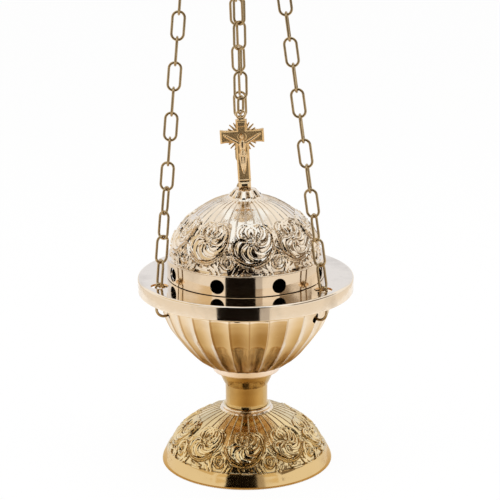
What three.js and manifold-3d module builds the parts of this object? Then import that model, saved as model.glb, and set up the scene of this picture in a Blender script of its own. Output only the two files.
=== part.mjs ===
// A hanging incense burner in polished brass: a fluted bowl on a domed foot, under a pierced and domed lid
// with a small crucifix. Three chains rise from the bowl's rim to a top plate with a bow, a swivel and a ring.
// The lid has a chain of its own, which runs up through the plate to a finger ring.
// Lengths are in millimetres, with +Z up. The origin is the point that the hanging ring hangs from.
import * as THREE from 'three';
import { mergeVertices } from 'three/addons/utils/BufferGeometryUtils.js';
import Module from 'manifold-3d';

const wasm = await Module();
wasm.setup();

// Driving dimensions. Heights named level are measured from the top of the rim's flange.
const gap = 0.3;

const rimRadius = 55;
const rimThickness = 1.1;
const rimEdgeRadius = 0.8;
const skirtHeight = 7.6;
const seatWidth = 0.9;
const seatHeight = 1.0;

const chainHoleInset = 7.7;
const chainCircleRadius = rimRadius - chainHoleInset;
const chainHoleRadius = 4.5;
const chains = [
  { name: 'left', azimuth: -65.5, twist: 65.5 },
  { name: 'right', azimuth: 54.5, twist: 30 },
  { name: 'back', azimuth: 180, twist: 0 },
];
const linksPerChain = 12;
const twistedLinks = 5;
const linkLength = 15;
const linkWidth = 7.1;
const linkWire = 1.14;

const hookWire = 1.4;
const hookTopLevel = 1.2;
const hookTopRadius = 1.9;
const hookBottomRadius = 4.3;
const hookTail = 2;
const hookHoleRadius = 2.6;
const hookHoleLevel = -15.7;

const bowlWall = 1.2;
const bowlFloor = 1.4;
const bowlInset = 10.5;
const bowlTopRadius = rimRadius - bowlInset;
const fluteTopLevel = -13.5;
const bowlBottomLevel = -46.5;
const bowlBottomRadius = 19;
const fluteCount = 28;
const fluteDepth = 1.1;
const ventCount = 3;
const ventRadius = 3.2;
const ventLevel = -8.5;
const ventAzimuth = -5.5;

const collarRadius = 18.5;
const collarHeight = 3.7;
const stemCupRadius = 14;
const stemNeckRadius = 11.3;
const stemCupHeight = 7.9;
const stemHeight = 21.4;

const footRadius = 44.2;
const footDomeRadius = 40.6;
const footDomeHeight = 23.9;
const footBandHeight = 7.6;
const footWall = 1.4;
const footTopRadius = 13.5;

const boltRadius = 2;
const boltHeadRadius = 7;
const boltHeadHeight = 2;
const boltBelowNut = 1.5;
const nutAcross = 7;
const nutHeight = 3.2;

const cupTopRadius = 30;
const cupBottomRadius = 20;
const cupHeight = 23;
const cupWall = 0.9;
const cupLip = 1.6;

const rimShelfWidth = 15;
const lidRadius = rimRadius - rimShelfWidth;
const lidWall = 1;
const lidBandHeight = 10;
const lidVentCount = 8;
const lidVentRadius = 3.7;
const lidVentHeight = 4.6;
const lidVentAzimuth = -19;
const domeInset = 1.1;
const domeRadius = lidRadius - domeInset;
const domeHeight = 31;
const crownRadius = 8;
const crownHeight = 3;
const crownLobes = 9;
const crownLobeDepth = 0.5;

const crossSpan = 22;
const crossHeight = 35.6;
const crossArmHeight = 27;
const crossArmWidth = 6.3;
const crossPostWidth = 6.5;
const crossHeadWidth = 5.2;
const crossFlare = 0.35;
const crossThickness = 2.4;
const crossLean = 2.8;
const crossBlockHeight = 4.4;
const crossBlockWidth = 7.2;
const gloryWidth = 11.8;
const gloryHeight = 12.2;
const figureHeight = 15.4;
const figureReach = 7.6;
const figureHeadRadius = 1.25;
const crossShankRadius = 1.4;
const crossShankLength = 8;
const eyeRadius = 2.7;
const eyeHoleRadius = 1.6;
const eyeThickness = 1.4;
const finialNutAcross = 6;
const finialNutHeight = 2.6;

const crossRingLength = 10;
const crossRingWidth = 6.4;
const crossRingWire = 1.3;
const crossRingTurn = 62;
const lidLinkTurns = [0, -80, 24, -32, 90];
const lidChainLean = 0.6;

const plateRadius = 28;
const plateThickness = 1.6;
const plateRise = 3.3;
const plateTopRadius = 20.5;
const plateSlopeWidth = 2;
const plateHoleRadius = 7;
const plateOffset = 4.3;
const plateLevel = 147.4;
const chainGatherRadius = 28.4;
const earRadius = 2.9;
const earHoleRadius = 1.3;
const earRoom = 1;

const pullRingRadius = 9;
const pullRingWire = 1.8;

const bowRadius = 25.2;
const bowHeight = 48.6;
const bowWidth = 7;
const bowThickness = 2.2;
const bowPadRadius = 2.6;
const bowPadHeight = 1.4;
const bowRivetRadius = 1.3;
const bowRivetHeadRadius = 2.3;
const bowRivetHeadHeight = 1;

const swivelRadius = 1.8;
const swivelHeadRadius = 3.4;
const swivelHeadHeight = 2;
const swivelCollarHeight = 1.5;
const swivelEyeRadius = 4;
const swivelEyeWire = 2.2;

const hangingRingRadius = 13;
const hangingRingWire = 3;

const round = 48;
const polishedBrass = { color: 0xd9b36c, roughness: 0.18, metalness: 1 };
const castBrass = { color: 0xc39a5e, roughness: 0.35, metalness: 1 };
const chainBrass = { color: 0xcfae78, roughness: 0.25, metalness: 1 };
const darkIron = { color: 0x4a4641, roughness: 0.7, metalness: 0.6 };

const radians = THREE.MathUtils.degToRad;

// Points on the plan, from the front towards the right.
function polar(radius, azimuth, level = 0) {
  const angle = radians(azimuth);
  return new THREE.Vector3(radius * Math.sin(angle), -radius * Math.cos(angle), level);
}

// One closed skin with its corners shared and its faces pointing out.
function closedSkin(geometry) {
  const bare = new THREE.BufferGeometry();
  bare.setAttribute('position', geometry.getAttribute('position').clone());
  if (geometry.index) bare.setIndex(geometry.index.clone());
  const merged = mergeVertices(bare, 1e-4);
  const kept = [];
  const index = merged.index.array;
  for (let i = 0; i < index.length; i += 3) {
    const [a, b, c] = [index[i], index[i + 1], index[i + 2]];
    if (a !== b && b !== c && c !== a) kept.push(a, b, c);
  }
  if (signedVolume(merged.getAttribute('position'), kept) < 0) {
    for (let i = 0; i < kept.length; i += 3) [kept[i], kept[i + 1]] = [kept[i + 1], kept[i]];
  }
  merged.setIndex(kept);
  return merged;
}

function signedVolume(position, index) {
  const [a, b, c] = [new THREE.Vector3(), new THREE.Vector3(), new THREE.Vector3()];
  let volume = 0;
  for (let i = 0; i < index.length; i += 3) {
    a.fromBufferAttribute(position, index[i]);
    b.fromBufferAttribute(position, index[i + 1]);
    c.fromBufferAttribute(position, index[i + 2]);
    volume += a.dot(b.cross(c)) / 6;
  }
  return volume;
}

function solid(geometry) {
  const skin = closedSkin(geometry);
  const mesh = new wasm.Mesh({
    numProp: 3,
    vertProperties: new Float32Array(skin.getAttribute('position').array),
    triVerts: new Uint32Array(skin.index.array),
  });
  mesh.merge();
  return new wasm.Manifold(mesh);
}

function skinOf(manifold) {
  const mesh = manifold.getMesh();
  const geometry = new THREE.BufferGeometry();
  geometry.setAttribute('position', new THREE.BufferAttribute(mesh.vertProperties, 3));
  geometry.setIndex(new THREE.BufferAttribute(mesh.triVerts, 1));
  return geometry;
}

const joined = (...parts) => skinOf(parts.map(solid).reduce((whole, part) => whole.add(part)));
const cut = (body, tools) => skinOf(tools.map(solid).reduce((rest, tool) => rest.subtract(tool), solid(body)));

function finish(geometry) {
  const skin = closedSkin(geometry).toNonIndexed();
  skin.computeVertexNormals();
  return skin;
}

const parts = new THREE.Group();

function addPart(name, geometry, look) {
  const mesh = new THREE.Mesh(finish(geometry), new THREE.MeshStandardMaterial(look));
  mesh.name = name;
  parts.add(mesh);
  return mesh;
}

// A turned piece. The outline is a list of [radius, level], and it is closed here where it leaves the axis.
function turned(outline, segments = round) {
  const points = outline.map(([radius, level]) => new THREE.Vector2(radius, level));
  if (outline[0][0] > 0) points.push(points[0].clone());
  return new THREE.LatheGeometry(points, segments).rotateX(Math.PI / 2);
}

function rod(radius, bottom, top, sides = 16) {
  const geometry = new THREE.CylinderGeometry(radius, radius, top - bottom, sides).rotateX(Math.PI / 2);
  return geometry.translate(0, 0, (top + bottom) / 2);
}

// A round cutter that lies flat and points outwards at one azimuth.
function sideBore(radius, azimuth, level, from, to, sides = 14) {
  const bore = new THREE.CylinderGeometry(radius, radius, to - from, sides);
  bore.rotateY(Math.PI / sides).translate(0, -(from + to) / 2, 0);
  return bore.rotateZ(radians(azimuth)).translate(0, 0, level);
}

function upright(geometry, centre) {
  return geometry.translate(centre.x, centre.y, centre.z);
}

// An oval of round wire, long in Y and flat in the XY plane.
function ovalRing(length, width, wire, sides = 5, steps = 14) {
  const ring = new THREE.TorusGeometry((width - wire) / 2, wire / 2, sides, steps);
  ring.rotateZ(Math.PI / steps);
  const position = ring.getAttribute('position');
  for (let i = 0; i < position.count; i += 1) {
    const y = position.getY(i);
    position.setY(i, y + Math.sign(y) * (length - width) / 2);
  }
  return ring;
}

// Wire bent along a line of points.
function bentWire(points, wire, steps, sides = 3) {
  const section = new THREE.Shape().absarc(0, 0, wire / 2, 0, 2 * Math.PI);
  const extrudePath = new THREE.CatmullRomCurve3(points);
  return new THREE.ExtrudeGeometry(section, { steps, extrudePath, curveSegments: sides, bevelEnabled: false });
}

function arc(centreX, centreZ, radius, fromDegrees, toDegrees, count) {
  return Array.from({ length: count }, (_, i) => {
    const angle = radians(fromDegrees + (toDegrees - fromDegrees) * i / (count - 1));
    return new THREE.Vector3(centreX + radius * Math.cos(angle), 0, centreZ + radius * Math.sin(angle));
  });
}

// Points of a smooth outline through a few known ones.
function smoothOutline(known, count) {
  const curve = new THREE.SplineCurve(known.map(([radius, level]) => new THREE.Vector2(radius, level)));
  return curve.getPoints(count).map((point) => [point.x, point.y]);
}

// Rim: a flat ring with its edge turned down, and a low seat that the lid fits over.
const lidInnerRadius = lidRadius - lidWall;
const seatRadius = lidInnerRadius - gap;
const rimInnerRadius = seatRadius - seatWidth;

function rimOutline() {
  const inside = rimRadius - rimThickness;
  const shoulder = rimEdgeRadius * (1 - Math.SQRT1_2);
  return [
    [rimInnerRadius, -rimThickness],
    [rimInnerRadius, seatHeight],
    [seatRadius, seatHeight],
    [seatRadius, 0],
    [rimRadius - rimEdgeRadius, 0],
    [rimRadius - shoulder, -shoulder],
    [rimRadius, -rimEdgeRadius],
    [rimRadius, -skirtHeight],
    [inside, -skirtHeight],
    [inside, -rimThickness],
  ];
}

const chainBores = chains.map(({ azimuth }) => {
  const bore = rod(chainHoleRadius, -2 * rimThickness, rimThickness);
  return upright(bore, polar(chainCircleRadius, azimuth));
});
addPart('rim_ring', cut(turned(rimOutline(), 48), chainBores), polishedBrass);

// Bowl: a plain wall under the rim, then concave flutes that meet in sharp edges down to the floor.
const bowlTopLevel = -rimThickness - gap;
const bowlDepth = fluteTopLevel - bowlBottomLevel;
const bowlSpread = bowlTopRadius - bowlBottomRadius;
const bowlCurve = [[1, 0], [0.969, 0.09], [0.914, 0.22], [0.812, 0.39], [0.682, 0.53], [0.533, 0.68],
  [0.412, 0.79], [0.259, 0.9], [0.11, 0.985]];

function bowlOutline() {
  const flank = bowlCurve.map(([spread, fall]) => [
    bowlBottomRadius + spread * bowlSpread,
    fluteTopLevel - fall * bowlDepth,
  ]);
  const inner = flank.filter((_, i) => i % 2 === 0).map(([radius, level]) => [
    radius - bowlWall - fluteDepth,
    level + bowlWall,
  ]);
  const floorLevel = bowlBottomLevel + bowlFloor;
  inner[inner.length - 1] = [bowlBottomRadius - bowlWall, floorLevel];
  return [
    [boltRadius + gap, bowlBottomLevel],
    [bowlBottomRadius, bowlBottomLevel],
    ...flank.reverse(),
    [bowlTopRadius, bowlTopLevel],
    [bowlTopRadius - bowlWall, bowlTopLevel],
    ...inner,
    [boltRadius + gap, floorLevel],
  ];
}

// Only the outer face is fluted: the flutes fade out at the wall and at the floor.
function flute(geometry) {
  const position = geometry.getAttribute('position');
  const inside = (level) => (fluteTopLevel - level) / bowlDepth;
  for (let i = 0; i < position.count; i += 1) {
    const [x, y, z] = [position.getX(i), position.getY(i), position.getZ(i)];
    const radius = Math.hypot(x, y);
    const fall = inside(z);
    const outer = radius > outerRadiusAt(z) - bowlWall / 2;
    if (!outer || fall <= 0.01 || fall >= 0.99) continue;
    const turn = (Math.atan2(x, -y) / (2 * Math.PI) * fluteCount + fluteCount) % 1;
    const hollow = 1 - (2 * turn - 1) ** 2;
    const fade = Math.min(1, fall / 0.09, (1 - fall) / 0.1);
    const scale = 1 - fluteDepth * hollow * fade / radius;
    position.setXY(i, x * scale, y * scale);
  }
  return geometry;
}

function outerRadiusAt(level) {
  const fall = (fluteTopLevel - level) / bowlDepth;
  for (let i = 1; i < bowlCurve.length; i += 1) {
    const [[spreadA, fallA], [spreadB, fallB]] = [bowlCurve[i - 1], bowlCurve[i]];
    if (fall <= fallB) {
      const share = Math.max(0, (fall - fallA) / (fallB - fallA));
      return bowlBottomRadius + bowlSpread * (spreadA + (spreadB - spreadA) * share);
    }
  }
  return bowlBottomRadius;
}

const bowlBores = [
  ...Array.from({ length: ventCount }, (_, i) => sideBore(
    ventRadius, ventAzimuth + i * 360 / ventCount, ventLevel, bowlTopRadius - 4 * bowlWall, rimRadius)),
  ...chains.map(({ azimuth }) => sideBore(
    hookHoleRadius, azimuth, hookHoleLevel, bowlTopRadius - 4 * bowlWall, rimRadius)),
];
addPart('bowl', cut(flute(turned(bowlOutline(), fluteCount * 2)), bowlBores), polishedBrass);

// Stem: collar, tapered cup and neck, turned in one piece with a bore for the bolt.
const stemTopLevel = bowlBottomLevel - gap;
const stemBottomLevel = stemTopLevel - stemHeight;
const neckLevel = stemTopLevel - collarHeight - stemCupHeight;
addPart('stem', turned([
  [boltRadius + gap, stemTopLevel],
  [collarRadius - 0.8, stemTopLevel],
  [collarRadius, stemTopLevel - 0.8],
  [collarRadius, stemTopLevel - collarHeight + 1],
  [collarRadius - 1.4, stemTopLevel - collarHeight],
  [stemCupRadius, stemTopLevel - collarHeight],
  [stemNeckRadius + 0.5, neckLevel + 2.4],
  [stemNeckRadius, neckLevel],
  [stemNeckRadius - 0.4, neckLevel - 0.6],
  [stemNeckRadius - 0.4, stemBottomLevel + 1],
  [stemNeckRadius, stemBottomLevel],
  [boltRadius + gap, stemBottomLevel],
], 30), polishedBrass);

// Foot: a domed shell on a plain flared band.
const footTopLevel = stemBottomLevel - gap;
const footBandLevel = footTopLevel - footDomeHeight;
const footBottomLevel = footBandLevel - footBandHeight;
const footCurve = [[0, 0.02], [0.13, 0.105], [0.3, 0.19], [0.47, 0.318], [0.69, 0.52], [0.87, 0.732], [0.97, 0.93],
  [1, 1]];

function footOutline() {
  const spread = footDomeRadius - footTopRadius;
  const dome = footCurve.map(([out, fall]) => [footTopRadius + out * spread, footTopLevel - fall * footDomeHeight]);
  const under = dome.filter((_, i) => i % 2 === 1).map(([radius, level]) => [radius - footWall, level - footWall / 2]);
  return [
    [boltRadius + gap, footTopLevel],
    [footTopRadius - 0.6, footTopLevel],
    ...dome,
    [footDomeRadius + 0.7, footBandLevel - 0.5],
    [footDomeRadius + 1.2, footBandLevel - 0.28 * footBandHeight],
    [footRadius - 0.8, footBottomLevel + 0.25 * footBandHeight],
    [footRadius, footBottomLevel],
    [footRadius - 1.8, footBottomLevel],
    ...under.reverse(),
    [footTopRadius - 1.5, footTopLevel - footWall],
    [boltRadius + gap, footTopLevel - footWall],
  ];
}
addPart('foot', turned(footOutline(), 40), polishedBrass);

// The bolt's head lies on the bowl's floor, and the nut is under the top of the foot.
const boltSeatLevel = bowlBottomLevel + bowlFloor + gap;
const boltHeadLevel = boltSeatLevel + boltHeadHeight;
const nutTopLevel = footTopLevel - footWall - gap;
const nutBottomLevel = nutTopLevel - nutHeight;
addPart('tie_bolt', turned([
  [0, boltHeadLevel],
  [boltHeadRadius - 0.8, boltHeadLevel],
  [boltHeadRadius, boltHeadLevel - 0.8],
  [boltHeadRadius, boltSeatLevel],
  [boltRadius, boltSeatLevel],
  [boltRadius, nutBottomLevel - boltBelowNut],
  [0, nutBottomLevel - boltBelowNut],
], 16), darkIron);

function hexNut(across, height, bore, top) {
  const body = new THREE.CylinderGeometry(across / Math.sqrt(3), across / Math.sqrt(3), height, 6);
  const standing = body.rotateX(Math.PI / 2).translate(0, 0, top - height / 2);
  return cut(standing, [rod(bore, top - height - 1, top + 1)]);
}
addPart('tie_nut', hexNut(nutAcross, nutHeight, boltRadius + gap, nutTopLevel), darkIron);

// Charcoal cup: a loose spun cup that stands on the bolt's head.
const cupBottomLevel = boltHeadLevel + gap;
const cupTopLevel = cupBottomLevel + cupHeight;
addPart('charcoal_cup', turned([
  [0, cupBottomLevel],
  [cupBottomRadius - 2, cupBottomLevel],
  [cupBottomRadius, cupBottomLevel + 2],
  [cupTopRadius - cupLip, cupTopLevel - cupWall],
  [cupTopRadius, cupTopLevel - cupWall],
  [cupTopRadius, cupTopLevel],
  [cupTopRadius - cupLip - cupWall, cupTopLevel],
  [cupBottomRadius - cupWall, cupBottomLevel + 2 + cupWall],
  [cupBottomRadius - 2 - cupWall, cupBottomLevel + cupWall],
  [0, cupBottomLevel + cupWall],
], 32), darkIron);

// Lid: a pierced band, the dome above it, and a small lobed crown that carries the cross.
const lidBottomLevel = gap;
const domeLevel = lidBottomLevel + lidBandHeight + 0.5;
const domeTopLevel = domeLevel + domeHeight;
const crownTopLevel = domeTopLevel + crownHeight;
const domeCurve = [[1, 0], [0.978, 0.14], [0.93, 0.29], [0.845, 0.45], [0.73, 0.6], [0.61, 0.71], [0.44, 0.84],
  [0.23, 0.945], [0, 1]];

function lidOutline() {
  const spread = domeRadius - crownRadius;
  const dome = domeCurve.map(([out, rise]) => [crownRadius + out * spread, domeLevel + rise * domeHeight]);
  const under = dome.map(([radius, level]) => [radius - lidWall, level - lidWall]).slice(1, -1);
  return [
    [lidInnerRadius, lidBottomLevel],
    [lidRadius, lidBottomLevel],
    [lidRadius, domeLevel - 0.7],
    [lidRadius + 0.3, domeLevel - 0.4],
    ...dome,
    [crownRadius, domeTopLevel + 0.4],
    [0.88 * crownRadius, domeTopLevel + 0.55 * crownHeight],
    [0.62 * crownRadius, crownTopLevel],
    [crossShankRadius + gap, crownTopLevel],
    [crossShankRadius + gap, domeTopLevel - lidWall],
    ...under.reverse(),
    [lidInnerRadius, domeLevel - 1.2],
  ];
}

function lobe(geometry) {
  const position = geometry.getAttribute('position');
  for (let i = 0; i < position.count; i += 1) {
    const [x, y, z] = [position.getX(i), position.getY(i), position.getZ(i)];
    const radius = Math.hypot(x, y);
    if (z < domeTopLevel + 0.1 || radius < 2 * crossShankRadius) continue;
    const dent = crownLobeDepth * (1 - Math.abs(Math.cos(Math.atan2(x, -y) * crownLobes / 2)));
    const scale = 1 - dent / radius;
    position.setXY(i, x * scale, y * scale);
  }
  return geometry;
}

const lidVents = Array.from({ length: lidVentCount }, (_, i) => sideBore(
  lidVentRadius, lidVentAzimuth + i * 360 / lidVentCount, lidBottomLevel + lidVentHeight,
  lidInnerRadius - 5 * lidWall, lidRadius + 5 * lidWall));
addPart('lid_dome', cut(lobe(turned(lidOutline(), 5 * crownLobes)), lidVents), polishedBrass);

// Cross: a flat casting with a square block below, a glory of rays behind the arms and an eye on top.
// It leans a little, so it is built upright on its own foot and turned as one piece.
const crossFoot = new THREE.Vector3(0, 0, crownTopLevel + gap);
const eyeHeight = crossHeight + eyeRadius - 0.4;
const crossTurn = new THREE.Matrix4().makeRotationY(-radians(crossLean));

function slab(outline, thickness) {
  const shape = new THREE.Shape(outline.map(([x, z]) => new THREE.Vector2(x, z)));
  const plate = new THREE.ExtrudeGeometry(shape, { depth: thickness, bevelEnabled: false });
  return plate.rotateX(Math.PI / 2).translate(0, thickness / 2, 0);
}

function crossOutline() {
  const half = crossArmWidth / 2;
  const end = crossSpan / 2;
  const left = [
    [-crossPostWidth / 2, crossBlockHeight - 0.5],
    [-crossPostWidth / 2, crossArmHeight - half],
    [-end + 2.5, crossArmHeight - half],
    [-end, crossArmHeight - half - crossFlare],
    [-end, crossArmHeight + half + crossFlare],
    [-end + 2.5, crossArmHeight + half],
    [-crossHeadWidth / 2, crossArmHeight + half],
    [-crossHeadWidth / 2 - crossFlare, crossHeight],
  ];
  const right = left.map(([x, z]) => [-x, z]).reverse();
  return [...right, ...left];
}

function ball(radius, x, y, z, stretch = 1) {
  return new THREE.SphereGeometry(radius, 8, 6).rotateX(Math.PI / 2).scale(1, 1, stretch).translate(x, y, z);
}

function limb(from, to, radiusFrom, radiusTo) {
  const line = new THREE.Vector3().subVectors(to, from);
  const shaft = new THREE.CylinderGeometry(radiusTo, radiusFrom, line.length(), 8);
  const turn = new THREE.Quaternion().setFromUnitVectors(new THREE.Vector3(0, 1, 0), line.clone().normalize());
  return upright(shaft.applyQuaternion(turn), from.clone().add(to).multiplyScalar(0.5));
}

function crossGeometry() {
  const front = -crossThickness / 2;
  const at = (x, y, z) => new THREE.Vector3(x, front + y, z);
  const shoulder = crossArmHeight - figureHeadRadius / 2;
  const hips = shoulder - 0.45 * figureHeight;
  const hands = shoulder + 0.26 * figureReach;
  const eyeRing = new THREE.CylinderGeometry(eyeRadius, eyeRadius, eyeThickness, 16).translate(0, 0, eyeHeight);
  const eyeBore = new THREE.CylinderGeometry(eyeHoleRadius, eyeHoleRadius, 2 * eyeThickness, 12).translate(0, 0, eyeHeight);
  const pieces = [
    slab(crossOutline(), crossThickness),
    new THREE.BoxGeometry(gloryWidth, crossThickness / 2, gloryHeight).translate(0, 0, crossArmHeight),
    new THREE.BoxGeometry(crossBlockWidth, 2 * crossThickness, crossBlockHeight).translate(0, 0, crossBlockHeight / 2),
    rod(crossShankRadius, -crossShankLength, crossBlockHeight / 2, 12),
    eyeRing,
    ball(figureHeadRadius, 0, front - 0.9, shoulder + 1.4 * figureHeadRadius, 1.25),
    limb(at(0, -0.5, shoulder), at(0, -0.6, hips), 1.7, 1.25),
    limb(at(0, -0.6, hips + 1), at(0, -0.3, shoulder - figureHeight), 1.5, 0.75),
    limb(at(-0.7, -0.4, shoulder - 0.6), at(-figureReach, -0.1, hands), 0.7, 0.5),
    limb(at(0.7, -0.4, shoulder - 0.6), at(figureReach, -0.1, hands), 0.7, 0.5),
  ];
  const whole = pieces.map(solid).reduce((body, piece) => body.add(piece)).subtract(solid(eyeBore));
  return skinOf(whole).applyMatrix4(crossTurn);
}
addPart('cross_finial', crossGeometry(), castBrass).position.copy(crossFoot);
addPart('finial_nut', hexNut(finialNutAcross, finialNutHeight, crossShankRadius + gap + 0.1,
  domeTopLevel - lidWall - gap), darkIron);

// Places a flat oval so that its length follows one direction and its width another.
function placeLink(mesh, centre, along, across) {
  const side = across.clone().addScaledVector(along, -across.dot(along)).normalize();
  const basis = new THREE.Matrix4().makeBasis(side, along, new THREE.Vector3().crossVectors(side, along));
  mesh.quaternion.setFromRotationMatrix(basis);
  mesh.position.copy(centre);
}

const acrossAt = (turn) => new THREE.Vector3(Math.cos(radians(turn)), Math.sin(radians(turn)), 0);

// The ring in the cross's eye, and the lid's chain above it.
const eyeCentre = new THREE.Vector3(0, 0, eyeHeight).applyMatrix4(crossTurn).add(crossFoot);
const ringBottom = eyeCentre.z + eyeHoleRadius - gap - crossRingWire;
const crossRingCentre = new THREE.Vector3(eyeCentre.x, eyeCentre.y, ringBottom + crossRingLength / 2);
placeLink(addPart('cross_ring', ovalRing(crossRingLength, crossRingWidth, crossRingWire), chainBrass),
  crossRingCentre, new THREE.Vector3(0, 0, 1), acrossAt(crossRingTurn));

const linkPitch = linkLength - 2 * linkWire - gap;
const lidChainAlong = new THREE.Vector3(-Math.sin(radians(lidChainLean)), 0, Math.cos(radians(lidChainLean)));
const lidChainStart = new THREE.Vector3(eyeCentre.x, eyeCentre.y,
  ringBottom + crossRingLength - crossRingWire - gap - linkWire + linkLength / 2);
const lidLinkCentres = lidLinkTurns.map((turn, i) => {
  const centre = lidChainStart.clone().addScaledVector(lidChainAlong, i * linkPitch);
  placeLink(addPart(`lid_link_${i + 1}`, ovalRing(linkLength, linkWidth, linkWire), chainBrass),
    centre, lidChainAlong, acrossAt(turn));
  return centre;
});

// The finger ring lies on the raised middle of the plate, through the last link.
const lastLidLinkTop = lidLinkCentres.at(-1).clone().addScaledVector(lidChainAlong, linkLength / 2 - linkWire);
const pullRingPivot = lastLidLinkTop.clone();
pullRingPivot.z -= gap + pullRingWire / 2;
const pullRing = addPart('pull_ring', new THREE.TorusGeometry(pullRingRadius, pullRingWire / 2, 6, 24), polishedBrass);
pullRing.position.copy(pullRingPivot);
pullRing.position.y += pullRingRadius;

// Plate: a disc with a raised flat middle, a round hole for the lid's chain, and an ear at each chain.
const plateRaisedLevel = pullRingPivot.z - pullRingWire / 2 - gap;
const plateCentre = new THREE.Vector3(-plateOffset, 0, 0);
const chainRuns = chains.map(({ name, azimuth, twist }) => {
  const hookTop = polar(chainCircleRadius, azimuth, hookTopLevel);
  const plateEnd = polar(chainGatherRadius, azimuth, plateLevel + earRoom).add(plateCentre);
  const along = plateEnd.clone().sub(hookTop).normalize();
  const first = hookTop.clone().addScaledVector(along, linkLength / 2 - linkWire - gap - hookWire / 2);
  const last = plateEnd.clone().addScaledVector(along, linkWire - linkLength / 2);
  return { name, azimuth, twist, along, first, last, plateEnd };
});

// Each link is a quarter turn from the one below, and the chain twists a little over its first links.
function linkTurn({ azimuth, twist }, i) {
  const share = Math.min(1, i / twistedLinks);
  const eased = share * share * (3 - 2 * share);
  return azimuth + (i % 2 === 0 ? 0 : -90) + twist * eased;
}

for (const run of chainRuns) {
  for (let i = 0; i < linksPerChain; i += 1) {
    const centre = run.first.clone().lerp(run.last, i / (linksPerChain - 1));
    const number = String(i + 1).padStart(2, '0');
    placeLink(addPart(`${run.name}_link_${number}`, ovalRing(linkLength, linkWidth, linkWire), chainBrass),
      centre, run.along, acrossAt(linkTurn(run, i)));
  }
}

function plateGeometry() {
  const low = plateLevel - plateThickness;
  const high = plateRaisedLevel - plateThickness;
  const disc = turned([
    [plateHoleRadius, high],
    [plateTopRadius - 0.4, high],
    [plateTopRadius + plateSlopeWidth - 0.4, low],
    [plateRadius, low],
    [plateRadius, plateLevel],
    [plateTopRadius + plateSlopeWidth, plateLevel],
    [plateTopRadius, plateRaisedLevel],
    [plateHoleRadius, plateRaisedLevel],
  ], 40).translate(plateCentre.x, 0, 0);
  const earCentres = chainRuns.map((run) => {
    const across = acrossAt(linkTurn(run, linksPerChain - 1));
    const outwards = run.plateEnd.clone().sub(plateCentre).setZ(0);
    const sign = Math.sign(across.dot(outwards));
    return run.plateEnd.clone().addScaledVector(across, -sign * (linkWidth - linkWire) / 2).setZ(0);
  });
  const ears = earCentres.map((centre) => upright(rod(earRadius, low, plateLevel), centre));
  const bores = [
    ...earCentres.map((centre) => upright(rod(earHoleRadius, low - 1, plateLevel + 1, 10), centre)),
    ...[-1, 1].map((side) => rod(bowRivetRadius + gap, low - 1, plateLevel + 1, 10)
      .translate(plateCentre.x + side * bowRadius, 0, 0)),
  ];
  return cut(joined(disc, ...ears), bores);
}
addPart('top_plate', plateGeometry(), polishedBrass);

// Hooks: each has its upper bend through the lowest link and its lower bend through the bowl's wall.
const hookShank = chainCircleRadius + hookTopRadius;
const hookTopCentre = hookTopLevel - hookTopRadius;
const hookBottomCentre = hookHoleLevel + hookBottomRadius - 0.4;
for (const { name, azimuth } of chains) {
  const points = [
    ...arc(chainCircleRadius, hookTopCentre, hookTopRadius, 200, 0, 7),
    new THREE.Vector3(hookShank, 0, (hookTopCentre + hookBottomCentre) / 2),
    ...arc(hookShank - hookBottomRadius, hookBottomCentre, hookBottomRadius, 0, -180, 7),
    new THREE.Vector3(hookShank - 2 * hookBottomRadius, 0, hookBottomCentre + hookTail),
  ];
  addPart(`hook_${name}`, bentWire(points, hookWire, 20), chainBrass).rotation.z = radians(azimuth - 90);
}

// Bow: a flat strap bent to an arch, with a round pad and a rivet at each end and a hole for the swivel.
const bowInnerTop = plateLevel + gap + bowHeight;
const bowOuterTop = bowInnerTop + bowThickness;
const bowArchLevel = bowInnerTop - (bowRadius - bowThickness / 2);

function bowGeometry() {
  const foot = plateLevel + gap;
  const [outer, inner] = [bowRadius + bowThickness / 2, bowRadius - bowThickness / 2];
  const strap = new THREE.Shape();
  strap.moveTo(outer, foot).absarc(0, bowArchLevel, outer, 0, Math.PI).lineTo(-outer, foot);
  strap.lineTo(-inner, foot).absarc(0, bowArchLevel, inner, Math.PI, 0, true).lineTo(inner, foot);
  const band = new THREE.ExtrudeGeometry(strap, { depth: bowWidth, bevelEnabled: false, curveSegments: 20 });
  const arch = band.rotateX(Math.PI / 2).translate(0, bowWidth / 2, 0);
  const under = plateLevel - plateThickness - gap;
  const feet = [-1, 1].flatMap((side) => [
    rod(bowPadRadius, foot, foot + bowPadHeight).translate(side * bowRadius, 0, 0),
    rod(bowRivetRadius, under - bowRivetHeadHeight, foot + bowPadHeight / 2, 10).translate(side * bowRadius, 0, 0),
    rod(bowRivetHeadRadius, under - bowRivetHeadHeight, under).translate(side * bowRadius, 0, 0),
  ]);
  return cut(joined(arch, ...feet), [rod(swivelRadius + gap, bowInnerTop - 2, bowOuterTop + 2)]);
}
addPart('bow_handle', bowGeometry(), polishedBrass).position.copy(plateCentre);

// Swivel: a headed pin that turns in the bow, with an eye on top.
const swivelCollarLevel = bowOuterTop + gap;
const swivelEyeLevel = swivelCollarLevel + swivelCollarHeight + swivelEyeRadius + swivelEyeWire / 2 - 0.4;
const swivelHeadLevel = bowInnerTop - gap;
const swivelPin = turned([
  [0, swivelHeadLevel - swivelHeadHeight],
  [swivelHeadRadius - 0.6, swivelHeadLevel - swivelHeadHeight],
  [swivelHeadRadius, swivelHeadLevel - swivelHeadHeight + 0.6],
  [swivelHeadRadius, swivelHeadLevel],
  [swivelRadius, swivelHeadLevel],
  [swivelRadius, swivelCollarLevel],
  [swivelHeadRadius, swivelCollarLevel],
  [swivelHeadRadius, swivelCollarLevel + swivelCollarHeight],
  [0, swivelCollarLevel + swivelCollarHeight],
], 20);
const swivelEye = new THREE.TorusGeometry(swivelEyeRadius, swivelEyeWire / 2, 8, 20).rotateY(Math.PI / 2);
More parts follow.
